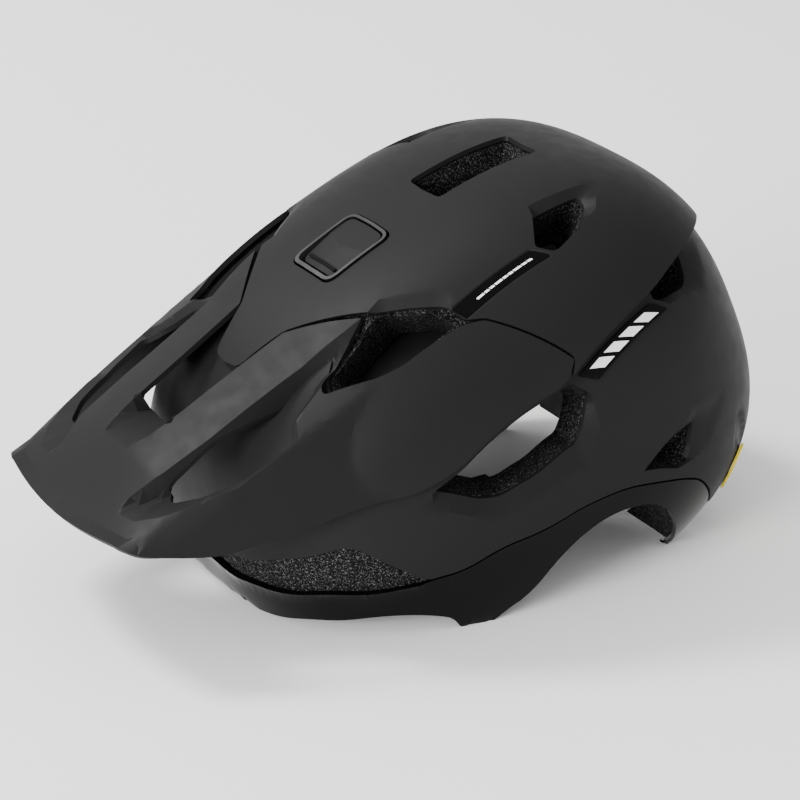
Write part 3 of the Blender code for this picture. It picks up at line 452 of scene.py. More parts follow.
def depth_inside(points, loop):
    """Distance to a loop's edge for the points inside it, and 0 for the others."""
    return np.where(inside(points, loop), edge_distance(points, loop), 0.0)


def both_sides(half):
    """Joins a left-half outline, which starts and ends at u = 0, to its mirror image."""
    middle = [point for point in half if point[0] != 0]
    return half + [(-point[0],) + tuple(point[1:]) for point in reversed(middle)]


def grow(outline, degrees):
    """Moves an outline's points outwards from the crown."""
    moved = []
    for point in outline:
        reach = np.hypot(point[0], point[1])
        scale = (reach + degrees) / reach
        moved.append((point[0] * scale, point[1] * scale) + tuple(point[2:]))
    return moved


def arc(polar, start, end, steps):
    """Points at one angle from the crown, between two bearings from the front."""
    bearings = np.radians(np.linspace(start, end, steps))
    return [(float(polar * np.sin(b)) if abs(b) > 1e-9 else 0, float(-polar * np.cos(b))) for b in bearings]


def disc(middle, radius, steps=28):
    """A round outline in the map."""
    turns = np.linspace(0.0, 2.0 * np.pi, steps, endpoint=False)
    return [(float(middle[0] + radius * np.cos(t)), float(middle[1] + radius * np.sin(t))) for t in turns]


def flipped(outline):
    """Mirror image of an outline."""
    return [(-point[0],) + tuple(point[1:]) for point in reversed(outline)]


def scaled(outline, factor):
    """An outline made larger about its middle."""
    middle_u = sum(point[0] for point in outline) / len(outline)
    middle_v = sum(point[1] for point in outline) / len(outline)
    return [(middle_u + (u - middle_u) * factor, middle_v + (v - middle_v) * factor) + tuple(corner)
            for u, v, *corner in outline]


def shrunk(outline, degrees):
    """A closed line inside a four-sided outline, the same distance in from every side."""
    corners = [np.array(point[:2], float) for point in outline]
    line = []
    for index, here in enumerate(corners):
        before, after = here - corners[index - 1], corners[(index + 1) % 4] - here
        before, after = before / np.hypot(*before), after / np.hypot(*after)
        turn = abs(before[0] * after[1] - before[1] * after[0])
        line.append(tuple(here + (after - before) * degrees / turn))
    return line + [line[0]]


CHANNEL = [shrunk(INLAY_STRIP, -CHANNEL_GROW), shrunk(INLAY_STRIP, CHANNEL_WALL - CHANNEL_GROW)]


def slope_drop(points, slope):
    """Drop at map points between a crease line and the opening that its slope runs into."""
    crease, back, opening, drop = slope
    crease = np.array(crease, float)
    across = folded(points)
    to_crease = edge_distance(across, crease, closed=False)
    to_opening = edge_distance(across, rounded(opening, 1.5))
    region = np.vstack([crease, back])
    share = to_crease / np.maximum(to_crease + to_opening, 1e-6)
    return np.where(inside(across, region), share, 0.0) * drop


def flat_sheet(outline, holes, creases, spacing):
    """Triangulates an outline with holes and crease lines in the map."""
    loops = [rounded(outline, spacing)] + [rounded(hole, spacing) for hole in holes]
    lines = [rounded(crease, spacing, closed=False) for crease in creases]
    points, edges = [], []
    for loop in loops:
        first = len(points)
        points += list(loop)
        edges += [(first + i, first + (i + 1) % len(loop)) for i in range(len(loop))]
    for line in lines:
        first = len(points)
        points += list(line)
        edges += [(first + i, first + i + 1) for i in range(len(line) - 1)]
    low, high = loops[0].min(axis=0), loops[0].max(axis=0)
    rows = np.arange(low[1], high[1], spacing * ROW_SHARE)
    lattice = np.array([(u + (row % 2) * spacing / 2, v) for row, v in enumerate(rows)
                        for u in np.arange(np.floor(low[0] / spacing) * spacing, high[0], spacing)])
    keep = inside(lattice, loops[0]) & (edge_distance(lattice, loops[0]) > spacing * CLEAR_SHARE)
    for loop in loops[1:]:
        keep &= ~inside(lattice, loop) & (edge_distance(lattice, loop) > spacing * CLEAR_SHARE)
    for line in lines:
        keep &= edge_distance(lattice, line, closed=False) > spacing * CLEAR_SHARE
    points += list(lattice[keep])
    result = delaunay_2d_cdt([Vector(point) for point in points], edges, [], 0, 1e-4)
    verts = np.array([tuple(vert) for vert in result[0]])
    faces = np.array(result[2])
    middles = verts[faces].mean(axis=1)
    keep = inside(middles, loops[0])
    for loop in loops[1:]:
        keep &= ~inside(middles, loop)
    return verts, faces[keep]


def mirrored(verts, faces):
    """Adds a sheet's mirror image across u = 0, sharing the points on the line."""
    verts = verts.copy()
    on_line = np.abs(verts[:, 0]) < 1e-3
    verts[on_line, 0] = 0.0
    twin = np.arange(len(verts))
    twin[~on_line] = len(verts) + np.arange((~on_line).sum())
    extra = verts[~on_line] * [-1.0, 1.0]
    return np.vstack([verts, extra]), np.vstack([faces, twin[faces][:, ::-1]])


def sculpted(verts, faces, name, material, body, stands_for=(), crease_angle=24.0, edge_round=0.0):
    """Turns points in millimetres and faces into a piece that rides on a body."""
    mesh = bpy.data.meshes.new(name)
    mesh.from_pydata([tuple(vert * MM) for vert in np.asarray(verts, float)], [], [tuple(f) for f in faces])
    mesh.validate()
    mesh.materials.append(material)
    mesh.shade_smooth()
    mesh.set_sharp_from_angle(angle=radians(crease_angle))
    piece = bpy.data.objects.new(name, mesh)
    bpy.context.scene.collection.objects.link(piece)
    if edge_round > 0:
        bevel = piece.modifiers.new("edge", "BEVEL")
        bevel.width = edge_round * MM
        bevel.segments = BEVEL_SEGMENTS
        bevel.limit_method = "ANGLE"
        bevel.angle_limit = radians(BEVEL_ANGLE)
        bevel.use_clamp_overlap = True
    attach(piece, body)
    if stands_for:
        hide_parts(*stands_for)
    return piece


def lifts_of(lift, points):
    """A lift for every point, from a number or a function."""
    return lift(points) if callable(lift) else np.full(len(points), float(lift))


def panel(name, outline, outer, inner, material, body, holes=(), creases=(), half=False, spacing=1.5,
          surface=dome, floor=0.0, stands_for=None, edge_round=0.5, crease_angle=24.0):
    """A solid layer over an outline of the map, between two lifts."""
    verts, faces = flat_sheet(outline, holes, creases, spacing)
    if half:
        verts, faces = mirrored(verts, faces)
    used = np.unique(faces)
    order = np.zeros(len(verts), int)
    order[used] = np.arange(len(used))
    verts, faces = verts[used], order[faces]
    tops = surface(verts, lifts_of(outer, verts))
    bottoms = surface(verts, lifts_of(inner, verts))
    tops[:, 2] = np.maximum(tops[:, 2], floor)
    bottoms[:, 2] = np.maximum(bottoms[:, 2], floor)
    corner = tops[faces[0]]
    away = np.cross(corner[1] - corner[0], corner[2] - corner[0]) @ (corner.mean(axis=0) - CENTRE)
    if away < 0:
        faces = faces[:, ::-1]
    sides = np.vstack([faces[:, [0, 1]], faces[:, [1, 2]], faces[:, [2, 0]]])
    known = {tuple(side) for side in sides}
    border = [side for side in map(tuple, sides) if (side[1], side[0]) not in known]
    count = len(verts)
    walls = [(end, start, start + count, end + count) for start, end in border]
    solid = list(map(tuple, faces)) + [tuple(face + count) for face in faces[:, ::-1]] + walls
    return sculpted(np.vstack([tops, bottoms]), solid, name, material, body,
                    stands_for=(name,) if stands_for is None else stands_for,
                    edge_round=edge_round, crease_angle=crease_angle)


class Nodes:
    """A material's node tree, with short calls for the nodes that the finishes share."""

    def __init__(self, name):
        self.material = bpy.data.materials.new(name)
        self.material.use_nodes = True
        self.tree = self.material.node_tree
        self.shader = self.tree.nodes["Principled BSDF"]
        self.where = self.add("ShaderNodeTexCoord").outputs["Object"]

    def add(self, kind, **values):
        """Adds a node and sets its inputs by name."""
        node = self.tree.nodes.new(kind)
        for name, value in values.items():
            node.inputs[name.replace("_", " ")].default_value = value
        return node

    def link(self, start, end):
        """Joins an output to an input."""
        self.tree.links.new(start, end)

    def noise(self, scale, detail=3.0, roughness=0.55):
        """A noise texture over the piece."""
        node = self.add("ShaderNodeTexNoise", Scale=scale, Detail=detail, Roughness=roughness)
        self.link(self.where, node.inputs["Vector"])
        return node.outputs["Fac"]

    def ramp(self, value, low, high, first, last):
        """Maps a value between two stops to two colours or greys."""
        node = self.add("ShaderNodeValToRGB")
        node.color_ramp.elements[0].position = low
        node.color_ramp.elements[1].position = high
        node.color_ramp.elements[0].color = (*first, 1.0)
        node.color_ramp.elements[1].color = (*last, 1.0)
        self.link(value, node.inputs["Fac"])
        return node.outputs["Color"]

    def bump(self, height, strength, distance, below=None):
        """Adds a bump over an earlier one."""
        node = self.add("ShaderNodeBump", Strength=strength, Distance=distance)
        self.link(height, node.inputs["Height"])
        if below is not None:
            self.link(below, node.inputs["Normal"])
        self.link(node.outputs["Normal"], self.shader.inputs["Normal"])
        return node.outputs["Normal"]

    def set(self, **values):
        """Sets plain values on the shader."""
        for name, value in values.items():
            self.shader.inputs[name.replace("_", " ")].default_value = value


def grey(value):
    """A neutral colour."""
    return (value, value, value)


def tinted(colour, factor):
    """A colour made lighter or darker."""
    return tuple(min(1.0, channel * factor) for channel in colour)


def moulded(name, colour, low_rough, high_rough, grain=2600.0, depth=0.00004, spread=0.97):
    """Moulded plastic: a fine even grain, soft cloudy gloss and slight colour change."""
    made = Nodes(name)
    cloud = made.noise(38.0, detail=4.0)
    made.link(made.ramp(cloud, 0.3, 0.7, tinted(colour, spread), tinted(colour, 2.0 - spread)),
              made.shader.inputs["Base Color"])
    made.link(made.ramp(made.noise(120.0), 0.3, 0.7, grey(low_rough), grey(high_rough)),
              made.shader.inputs["Roughness"])
    made.bump(made.noise(grain, detail=2.0), 0.35, depth)
    return made


FINISH = {}


def make_finishes():
    """Makes the helmet's finishes from the colours of the panel."""
    colours = bpy.context.scene.helmet_colours
    satin = moulded("satin_shell", tuple(colours.shell), 0.42, 0.50)
    satin.set(Specular_IOR_Level=0.08)
    FINISH["shell"] = satin.material
    gloss = moulded("gloss_shell", tuple(colours.gloss), 0.05, 0.09, grain=300.0, depth=0.00001)
    gloss.set(Specular_IOR_Level=0.12)
    FINISH["gloss_black"] = gloss.material
    strip = moulded("black_strip", tuple(colours.gloss), 0.22, 0.3, grain=300.0, depth=0.00001)
    strip.set(Specular_IOR_Level=0.06)
    FINISH["strip"] = strip.material
    FINISH["trim_black"] = moulded("satin_trim", tuple(colours.trim), 0.30, 0.42).material
    FINISH["nylon"] = moulded("moulded_nylon", tuple(colours.trim), 0.45, 0.6, grain=1500.0,
                              depth=0.00006).material
    FINISH["elastomer"] = moulded("soft_rubber", tuple(colours.trim), 0.62, 0.78, grain=1800.0,
                                  depth=0.00008).material
    FINISH["badge"] = moulded("yellow_badge", tuple(colours.accent), 0.38, 0.5).material
    FINISH["liner"] = moulded("slip_sheet", tuple(colours.trim), 0.3, 0.42, spread=0.9).material
    FINISH["print"] = moulded("white_print", tuple(colours.print), 0.35, 0.45).material
    FINISH["foam"] = make_foam_finish(tuple(colours.foam))
    FINISH["webbing"] = make_weave("woven_tape", tuple(colours.webbing), 1500.0, 1500.0)
    FINISH["pad"] = make_weave("knit_cover", tuple(colours.pad), 2200.0, 1500.0)


def make_foam_finish(colour):
    """Moulded bead foam: packed beads with fine seams and pale specks where the skin is worn thin."""
    made = Nodes("bead_foam")
    beads = made.add("ShaderNodeTexVoronoi", Scale=330.0, Randomness=1.0)
    made.link(made.where, beads.inputs["Vector"])
    seams = made.ramp(beads.outputs["Distance"], 0.25, 0.75, grey(1.0), grey(0.0))
    speck = made.ramp(made.noise(1300.0, detail=3.0, roughness=0.8), 0.54, 0.66, grey(0.0), grey(1.0))
    shade = made.add("ShaderNodeMix")
    shade.data_type = "RGBA"
    made.link(speck, shade.inputs["Factor"])
    shade.inputs["A"].default_value = (*tinted(colour, 0.2), 1.0)
    shade.inputs["B"].default_value = (*tinted(colour, 9.0), 1.0)
    made.link(shade.outputs["Result"], made.shader.inputs["Base Color"])
    made.link(made.ramp(made.noise(600.0), 0.3, 0.7, grey(0.72), grey(0.92)), made.shader.inputs["Roughness"])
    made.set(Specular_IOR_Level=0.08)
    first = made.bump(seams, 0.6, 0.0004)
    made.bump(made.noise(1700.0, detail=4.0, roughness=0.7), 0.6, 0.0003, below=first)
    return made.material


def make_weave(name, colour, across, along):
    """Woven cloth: crossing threads with fuzz, darker between the threads."""
    made = Nodes(name)
    heights = []
    for direction, scale in (("X", across), ("Y", along)):
        wave = made.add("ShaderNodeTexWave", Scale=scale / 6.283, Distortion=1.6, Detail=1.0)
        wave.bands_direction = direction
        made.link(made.where, wave.inputs["Vector"])
        heights.append(wave.outputs["Fac"])
    both = made.add("ShaderNodeMath")
    both.operation = "MULTIPLY"
    made.link(heights[0], both.inputs[0])
    made.link(heights[1], both.inputs[1])
    made.link(made.ramp(both.outputs["Value"], 0.1, 0.9, tinted(colour, 0.55), tinted(colour, 1.5)),
              made.shader.inputs["Base Color"])
    made.link(made.ramp(made.noise(900.0), 0.3, 0.7, grey(0.75), grey(0.95)), made.shader.inputs["Roughness"])
    made.set(Sheen_Weight=0.25, Sheen_Roughness=0.5)
    made.bump(both.outputs["Value"], 0.5, 0.00025)
    return made.material


def foam_top(points):
    """The foam stands up under the crown shell, dips under the camera seat and falls beside the vents."""
    depth = depth_inside(points, rounded(both_sides(LOWER_TOP), 6.6))
    under_shell = -SHELL_THICKNESS - LAYER_GAP
    rise = CROWN_LIFT - SHELL_THICKNESS - LAYER_GAP - under_shell
    lift = under_shell + rise * smooth((depth - FOAM_STEP[0]) / FOAM_STEP[1])
    seat = rounded(both_sides(CAMERA_SEAT), 6.6)
    near = np.where(inside(points, seat), 0.0, edge_distance(points, seat))
    lift = np.minimum(lift, under_shell + rise * smooth((near - SEAT_STEP[0]) / SEAT_STEP[1]))
    for slope in (FRONT_SLOPE, SIDE_TOP_SLOPE, SIDE_SLOPE, REAR_SIDE_SLOPE, TRIANGLE_SLOPE):
        lift = np.minimum(lift, lift - slope_drop(points, slope))
    return lift


def crown_top(points):
    """The crown's outer face, sloped beside its vents and sunk under the inlay strips."""
    depth = depth_inside(folded(points), np.array(CHANNEL[0]))
    slopes = slope_drop(points, SIDE_TOP_SLOPE) + slope_drop(points, FRONT_SLOPE)
    return CROWN_LIFT - slopes - INLAY_DEPTH * np.clip(depth / CHANNEL_WALL, 0.0, 1.0)


def lower_top(points):
    """The lower shell's outer face, sloped into its vents and recessed at the rear."""
    drop = slope_drop(points, SIDE_SLOPE) + slope_drop(points, REAR_SIDE_SLOPE)
    drop = drop + slope_drop(points, TRIANGLE_SLOPE)
    inner = depth_inside(folded(points), rounded(REAR_RECESS, 3.0))
    return -drop - RECESS_DROP * smooth(inner / RECESS_EDGE)


def rim_top(points):
    """The rim's outer face, with a bead along its top edge at the brow port."""
    near = edge_distance(folded(points), rounded(RIM_TOP, 3.0, closed=False), closed=False)
    return RIM_LIFT + RIM_BEAD * np.clip(1.0 - near / BEAD_WIDTH, 0.0, 1.0)


class HELMET_PG_colours(bpy.types.PropertyGroup):
    """Colours of the helmet's finishes."""

    shell: FloatVectorProperty(name="Shell", description="Colour of the satin shells", subtype="COLOR",
                               size=3, min=0.0, max=1.0, default=(0.0095, 0.0095, 0.0099))
    gloss: FloatVectorProperty(name="Gloss", description="Colour of the rim and strips", subtype="COLOR",
                               size=3, min=0.0, max=1.0, default=(0.0012, 0.0012, 0.0014))
    trim: FloatVectorProperty(name="Trim", description="Colour of moulded trim", subtype="COLOR",
                              size=3, min=0.0, max=1.0, default=(0.005, 0.005, 0.0055))
    foam: FloatVectorProperty(name="Foam", description="Colour of the bead foam", subtype="COLOR",
                              size=3, min=0.0, max=1.0, default=(0.012, 0.012, 0.0124))
    accent: FloatVectorProperty(name="Accent", description="Colour of the badges", subtype="COLOR",
                                size=3, min=0.0, max=1.0, default=(0.80, 0.62, 0.02))
    print: FloatVectorProperty(name="Print", description="Colour of the printed marks", subtype="COLOR",
                               size=3, min=0.0, max=1.0, default=(0.85, 0.85, 0.85))
    webbing: FloatVectorProperty(name="Webbing", description="Colour of the straps", subtype="COLOR",
                                 size=3, min=0.0, max=1.0, default=(0.02, 0.02, 0.021))
    pad: FloatVectorProperty(name="Pads", description="Colour of the pads' knitted cover", subtype="COLOR",
                             size=3, min=0.0, max=1.0, default=(0.035, 0.035, 0.038))


class HELMET_PG_sizes(bpy.types.PropertyGroup):
    """Sizes of the helmet's visible detail."""

    detail: FloatProperty(name="Mesh step", description="Spacing of surface points, degrees from the centre",
                          default=1.5, min=0.8, max=6.0)
    shell_edge: FloatProperty(name="Shell edge", description="Rounding of the shells' edges, mm",
                              default=0.55, min=0.1, max=0.9)
    foam_edge: FloatProperty(name="Foam edge", description="Rounding of the foam's edges, mm",
                             default=1.2, min=0.1, max=3.0)


class HELMET_OT_finishes(bpy.types.Operator):
    """Make the helmet's finishes"""

    bl_idname = "helmet.finishes"
    bl_label = "Finishes"

    def execute(self, context):
        make_finishes()
        return {"FINISHED"}


class HELMET_OT_foam(bpy.types.Operator):
    """Make the foam body with its vents"""

    bl_idname = "helmet.foam"
    bl_label = "Foam"

    def execute(self, context):
        sizes = context.scene.helmet_sizes
        panel("foam_liner", grow(RIM_EDGE, -1.6) + [(0, RIM_REAR[1] - 1.6)] + TOP_VENT, foam_top, FOAM_INNER,
              FINISH["foam"], "helmet",
              holes=[SIDE_TOP_VENT, SIDE_VENT, REAR_SIDE_VENT, TRIANGLE_VENT, REAR_VENT, FRONT_VENT],
              half=True, spacing=sizes.detail * 1.3, floor=FOAM_FLOOR, edge_round=sizes.foam_edge)
        return {"FINISHED"}


class HELMET_OT_crown(bpy.types.Operator):
    """Make the raised crown shell"""

    bl_idname = "helmet.crown"
    bl_label = "Crown shell"

    def execute(self, context):
        sizes = context.scene.helmet_sizes
        panel("crown_shell", TONGUE + CROWN_SIDE + [CROWN_REAR] + TOP_VENT + CAMERA_SEAT, crown_top,
              lambda points: crown_top(points) - SHELL_THICKNESS, FINISH["shell"], "helmet",
              holes=[SIDE_TOP_VENT], creases=[SIDE_TOP_SLOPE[0], FRONT_SLOPE[0]] + CHANNEL, half=True,
              spacing=sizes.detail, edge_round=sizes.shell_edge)
        return {"FINISHED"}


class HELMET_OT_lower(bpy.types.Operator):
    """Make the lower shell with its sloped vents"""

    bl_idname = "helmet.lower"
    bl_label = "Lower shell"

    def execute(self, context):
        sizes = context.scene.helmet_sizes
        panel("lower_shell", LOW_EDGE + [LOW_EDGE_REAR] + LOWER_TOP, lower_top,
              lambda points: lower_top(points) - SHELL_THICKNESS, FINISH["shell"], "helmet",
              holes=[SIDE_VENT, REAR_SIDE_VENT, TRIANGLE_VENT, REAR_VENT],
              creases=[SIDE_SLOPE[0], REAR_SIDE_SLOPE[0], TRIANGLE_SLOPE[0]], half=True,
              spacing=sizes.detail, edge_round=sizes.shell_edge)
        return {"FINISHED"}


class HELMET_OT_rim(bpy.types.Operator):
    """Make the gloss rim under the shells"""

    bl_idname = "helmet.rim"
    bl_label = "Rim"

    def execute(self, context):
        sizes = context.scene.helmet_sizes
        top = grow(LOW_EDGE, RIM_SEAM)
        join = [point for point in top if point[0] >= 84.0 or point[1] > 0]
        outline = RIM_EDGE + [RIM_REAR, (0, LOW_EDGE_REAR[1] + RIM_SEAM)] + join[::-1] + RIM_TOP[::-1]
        panel("rim_shell", outline, rim_top, RIM_INNER, FINISH["gloss_black"], "helmet",
              half=True, spacing=sizes.detail, edge_round=sizes.shell_edge)
        return {"FINISHED"}


class HELMET_OT_visor(bpy.types.Operator):
    """Make the slotted visor with its struts"""

    bl_idname = "helmet.visor"
    bl_label = "Visor"

    def execute(self, context):
        sizes = context.scene.helmet_sizes
        outline = bowed_line(FRONT_INSET, VISOR_HALF) + VISOR_SIDE + VISOR_REAR
        lip = bowed_line(LIP_WIDTH, LIP_HALF)
        panel("visor", outline, lambda points: -visor_drop(points),
              lambda points: -VISOR_THICKNESS - visor_drop(points), FINISH["shell"], "visor",
              holes=[SLOT_HOLE], creases=[SLOT_CREASE, GAP_CREASE[1:], lip], half=True,
              spacing=sizes.detail * 0.75, surface=visor_face, edge_round=sizes.shell_edge, crease_angle=16.0)
        return {"FINISHED"}


class HELMET_OT_trim(bpy.types.Operator):
    """Make the strips, badges and camera seat"""

    bl_idname = "helmet.trim"
    bl_label = "Trim"

    def execute(self, context):
        for side, turn in (("left", list), ("right", flipped)):
            panel("inlay_strip_" + side, turn(INLAY_STRIP), CROWN_LIFT - 0.3, CROWN_LIFT - INLAY_DEPTH + 0.1,
                  FINISH["strip"], "helmet", spacing=1.0, edge_round=STRIP_ROUND)
            panel("side_strip_" + side, turn(SIDE_STRIP), 1.0, 0.35, FINISH["strip"], "helmet",
                  spacing=1.0, edge_round=STRIP_ROUND)
            panel("badge_" + side, turn(disc(BADGE, BADGE_POLAR)), 1.6, 0.5, FINISH["badge"], "helmet",
                  spacing=1.0, edge_round=0.3)
            make_marks(side, turn)
        bezel = inset(both_sides(CAMERA_SEAT), LID_GAP)
        panel("camera_seat", bezel, CROWN_LIFT + 0.9, 1.0, FINISH["trim_black"], "helmet",
              holes=[both_sides(CAMERA_WELL)], spacing=0.9, edge_round=0.9)
        lid = inset(both_sides(CAMERA_WELL), LID_GAP)
        fold = [(-LID_HALF, LID_FOLD + LID_BEND), (0.0, LID_FOLD), (LID_HALF, LID_FOLD + LID_BEND)]
        panel("camera_cover", lid, lid_top, CROWN_LIFT - 1.8, FINISH["shell"], "camera_cover",
              creases=[fold], spacing=0.9, edge_round=0.4, crease_angle=6.0)
        panel("cover_tab", COVER_TAB, CROWN_LIFT - 0.2, CROWN_LIFT - 1.6, FINISH["strip"], "camera_cover",
              spacing=0.6, edge_round=0.25, stands_for=())
        return {"FINISHED"}


def inset(outline, degrees):
    """An outline round the camera seat's middle, moved inwards."""
    middle = (min(point[1] for point in outline) + max(point[1] for point in outline)) / 2
    return [(u - degrees * np.sign(u), v - degrees * np.sign(v - middle)) + tuple(corner)
            for u, v, *corner in outline]


def lid_top(points):
    """The lid's outer face: level at the rear, falling towards its front end."""
    ahead = LID_FOLD + LID_BEND * np.abs(points[:, 0]) / LID_HALF - points[:, 1]
    return CROWN_LIFT + 0.3 - LID_FALL * np.clip(ahead / LID_RAMP, 0.0, 1.0)


def strip_mark(strip, first, last, lean, across):
    """A four-sided mark on a strip, between two shares of its length, leaning forward across it."""
    corners = [point[:2] for point in strip]

    def place(share, side):
        """A map point at a share of the strip's length and of its width."""
        start = [a + (b - a) * side for a, b in zip(corners[0], corners[3])]
        end = [a + (b - a) * side for a, b in zip(corners[1], corners[2])]
        return tuple(a + (b - a) * share for a, b in zip(start, end))

    near, far = across
    return [place(first, near), place(last, near), place(last + lean, far), place(first + lean, far)]


def make_marks(side, turn):
    """Plain printed bars on the side strips and fine dashes on the inlays."""
    place = DASH_START
    for index in range(INLAY_DASHES):
        length = 0.05 if index % 3 else 0.085
        dash = strip_mark(INLAY_STRIP, place, place + length, 0.0, DASH_ACROSS)
        panel("inlay_mark_%d_%s" % (index + 1, side), turn(dash), CROWN_LIFT - 0.18, CROWN_LIFT - 0.32,
              FINISH["print"], "helmet", spacing=1.0, edge_round=0.0, stands_for=())
        place += length + DASH_GAP
    for index in range(SIDE_BARS):
        first = BAR_START + index * BAR_STEP
        bar = strip_mark(SIDE_STRIP, first, first + BAR_LENGTH, BAR_LEAN, BAR_ACROSS)
        panel("side_mark_%d_%s" % (index + 1, side), turn(bar), 1.25, 0.95, FINISH["print"], "helmet",
              spacing=1.0, edge_round=0.0, stands_for=())


class HELMET_OT_liner(bpy.types.Operator):
    """Make the slip liner inside the foam"""

    bl_idname = "helmet.liner"
    bl_label = "Slip liner"

    def execute(self, context):
        holes = [disc(place, ANCHOR_HOLE) for place in LINER_ANCHORS]
        holes += [scaled(SIDE_TOP_VENT, 1.12), scaled(SIDE_VENT, 1.18)]
        panel("slip_liner", LINER_EDGE + [LINER_REAR] + TOP_VENT, LINER_OUTER, LINER_INNER, FINISH["liner"],
              "slip_liner", holes=holes, half=True, spacing=context.scene.helmet_sizes.detail * 1.6,
              edge_round=0.3)
        return {"FINISHED"}


class HELMET_OT_pads(bpy.types.Operator):
    """Make the comfort pads, swelled like sewn foam"""

    bl_idname = "helmet.pads"
    bl_label = "Pads"

    def execute(self, context):
        for name, outline, half in (("brow_pad", BROW_PAD, True), ("rear_pad", REAR_PAD, True)):
            make_pad(name, outline, half)
        for side, turn in (("left", list), ("right", flipped)):
            make_pad("top_pad_" + side, turn(TOP_PAD), False)
            make_pad("side_pad_" + side, turn(SIDE_PAD), False)
        return {"FINISHED"}


def make_pad(name, outline, half):
    """One pad: a thin sewn shape swelled by cloth, then kept within reach of where it started."""
    pad = panel(name, outline, PAD_OUTER - PAD_SEAM_OUTER, PAD_INNER + PAD_SEAM_INNER, FINISH["pad"],
                "slip_liner", half=half, spacing=2.4, edge_round=0.0)
    swell(pad)


def apply_last(piece, modifier):
    """Turns a piece into the mesh that its last modifier makes, and takes the modifier away."""
    made = bpy.data.meshes.new_from_object(piece.evaluated_get(bpy.context.evaluated_depsgraph_get()))
    piece.modifiers.remove(modifier)
    piece.data = made


def swell(pad):
    """Sews a pad's cover from even cloth and blows it up a little; its points stay within PAD_TRAVEL."""
    even = pad.modifiers.new("even", "REMESH")
    even.mode = "VOXEL"
    even.voxel_size = PAD_VOXEL * MM
    apply_last(pad, even)
    start = np.array([vert.co for vert in pad.data.vertices])
    cloth = pad.modifiers.new("cover", "CLOTH")
    cloth.settings.quality = 4
    cloth.settings.mass = 0.2
    cloth.settings.tension_stiffness = 12.0
    cloth.settings.compression_stiffness = 12.0
    cloth.settings.bending_stiffness = 0.4
    cloth.settings.use_pressure = True
    cloth.settings.uniform_pressure_force = 4.0
    cloth.settings.effector_weights.gravity = 0.0
    cloth.collision_settings.use_collision = False
    cloth.collision_settings.use_self_collision = False
    cloth.point_cache.frame_start, cloth.point_cache.frame_end = 1, PAD_FRAMES
    for step in range(1, PAD_FRAMES + 1):
        bpy.context.scene.frame_set(step)
    apply_last(pad, cloth)
    bpy.context.scene.frame_set(1)
    for vert, home in zip(pad.data.vertices, start):
        move = Vector(np.array(vert.co) - home)
        if move.length > PAD_TRAVEL * MM:
            vert.co = Vector(home) + move.normalized() * (PAD_TRAVEL * MM)
    soft = pad.modifiers.new("soft", "SUBSURF")
    soft.levels = soft.render_levels = 1
    apply_last(pad, soft)
    pad.data.materials.clear()
    pad.data.materials.append(FINISH["pad"])
    pad.data.shade_smooth()


class HELMET_OT_dial(bpy.types.Operator):
    """Make the headband of the dial fit"""

    bl_idname = "helmet.dial"
    bl_label = "Dial fit"

    def execute(self, context):
        low, high = BAND_POLAR
        band = arc(low, 0.0, BAND_BEARING, 60) + arc(high, BAND_BEARING, 0.0, 60)
        panel("headband", band, BAND_OUTER, BAND_INNER, FINISH["nylon"], "helmet", half=True,
              spacing=2.4, edge_round=0.3)
        make_knob()
        return {"FINISHED"}


def swept_faces(rings, count):
    """Faces that join equal rings of points and close both ends."""
    faces = [tuple(range(count))]
    for ring in range(rings - 1):
        low, high = ring * count, (ring + 1) * count
        for index in range(count):
            following = (index + 1) % count
            faces.append((low + index, high + index, high + following, low + following))
    faces.append(tuple(reversed(range((rings - 1) * count, rings * count))))
    return faces


def turned(name, outline, rings, origin, material, body):
    """A piece made of rings along the Y axis, each a scaled outline or a circle."""
    verts = []
    for along, scale, is_round in rings:
        for point in outline:
            reach = scale / np.hypot(*point) if is_round else scale
            verts.append((origin[0] + point[0] * reach, origin[1] + along, origin[2] + point[1] * reach))
    sculpted(verts, swept_faces(len(rings), len(outline)), name, material, body, stands_for=(name,))


def make_knob():
    """The dial's knob: soft scallops round a dished face."""
    turns = np.linspace(0.0, 2.0 * np.pi, DIAL_GRIPS * 12, endpoint=False)
    reach = DIAL_RADIUS - KNOB_SCALLOP + KNOB_SCALLOP * np.cos(DIAL_GRIPS * turns)
    outline = [(r * np.cos(t), r * np.sin(t)) for r, t in zip(reach, turns)]
    back = dome(np.array([[0.0, KNOB_POLAR]]), np.array([FOAM_INNER]))[0][1] - DIAL_INSET + KNOB_START
    turned("dial_knob", outline, KNOB_RINGS, (0.0, back, DIAL_LEVEL), FINISH["elastomer"], "dial")


class HELMET_OT_straps(bpy.types.Operator):
    """Make the webbing with its thick woven edges"""

    bl_idname = "helmet.straps"
    bl_label = "Straps"

    def execute(self, context):
        for side, name in ((1, "left"), (-1, "right")):
            for end, away, place in (("front", -1, STRAP_FRONT), ("rear", 1, STRAP_REAR)):
                top = dome(np.array([[side * place[0], place[1]]]), np.array([FOAM_INNER - 14.0]))[0]
                foot = np.array([side * STRAP_FOOT, STRAP_BACK + away * 8.2, STRAP_LEVEL])
                route = [top + [0.0, 0.0, -5.0], top + [-side * 7.0, -away * 7.0, -26.0],
                         np.array([(top[0] + foot[0]) / 2, (top[1] + foot[1]) / 2, STRAP_LEVEL + 14.0]),
                         foot + [side * 10.0, 0.0, 1.5], foot]
                make_strap("strap_%s_%s" % (end, name), route)
            inner, outer = side * STRAP_CHIN, side * (BUCKLE_HALF + (0.6 if side > 0 else 9.0))
            make_strap("chin_strap_" + name, [np.array([inner, STRAP_BACK, STRAP_LEVEL]),
                                              np.array([outer, STRAP_BACK, STRAP_LEVEL])])
        return {"FINISHED"}


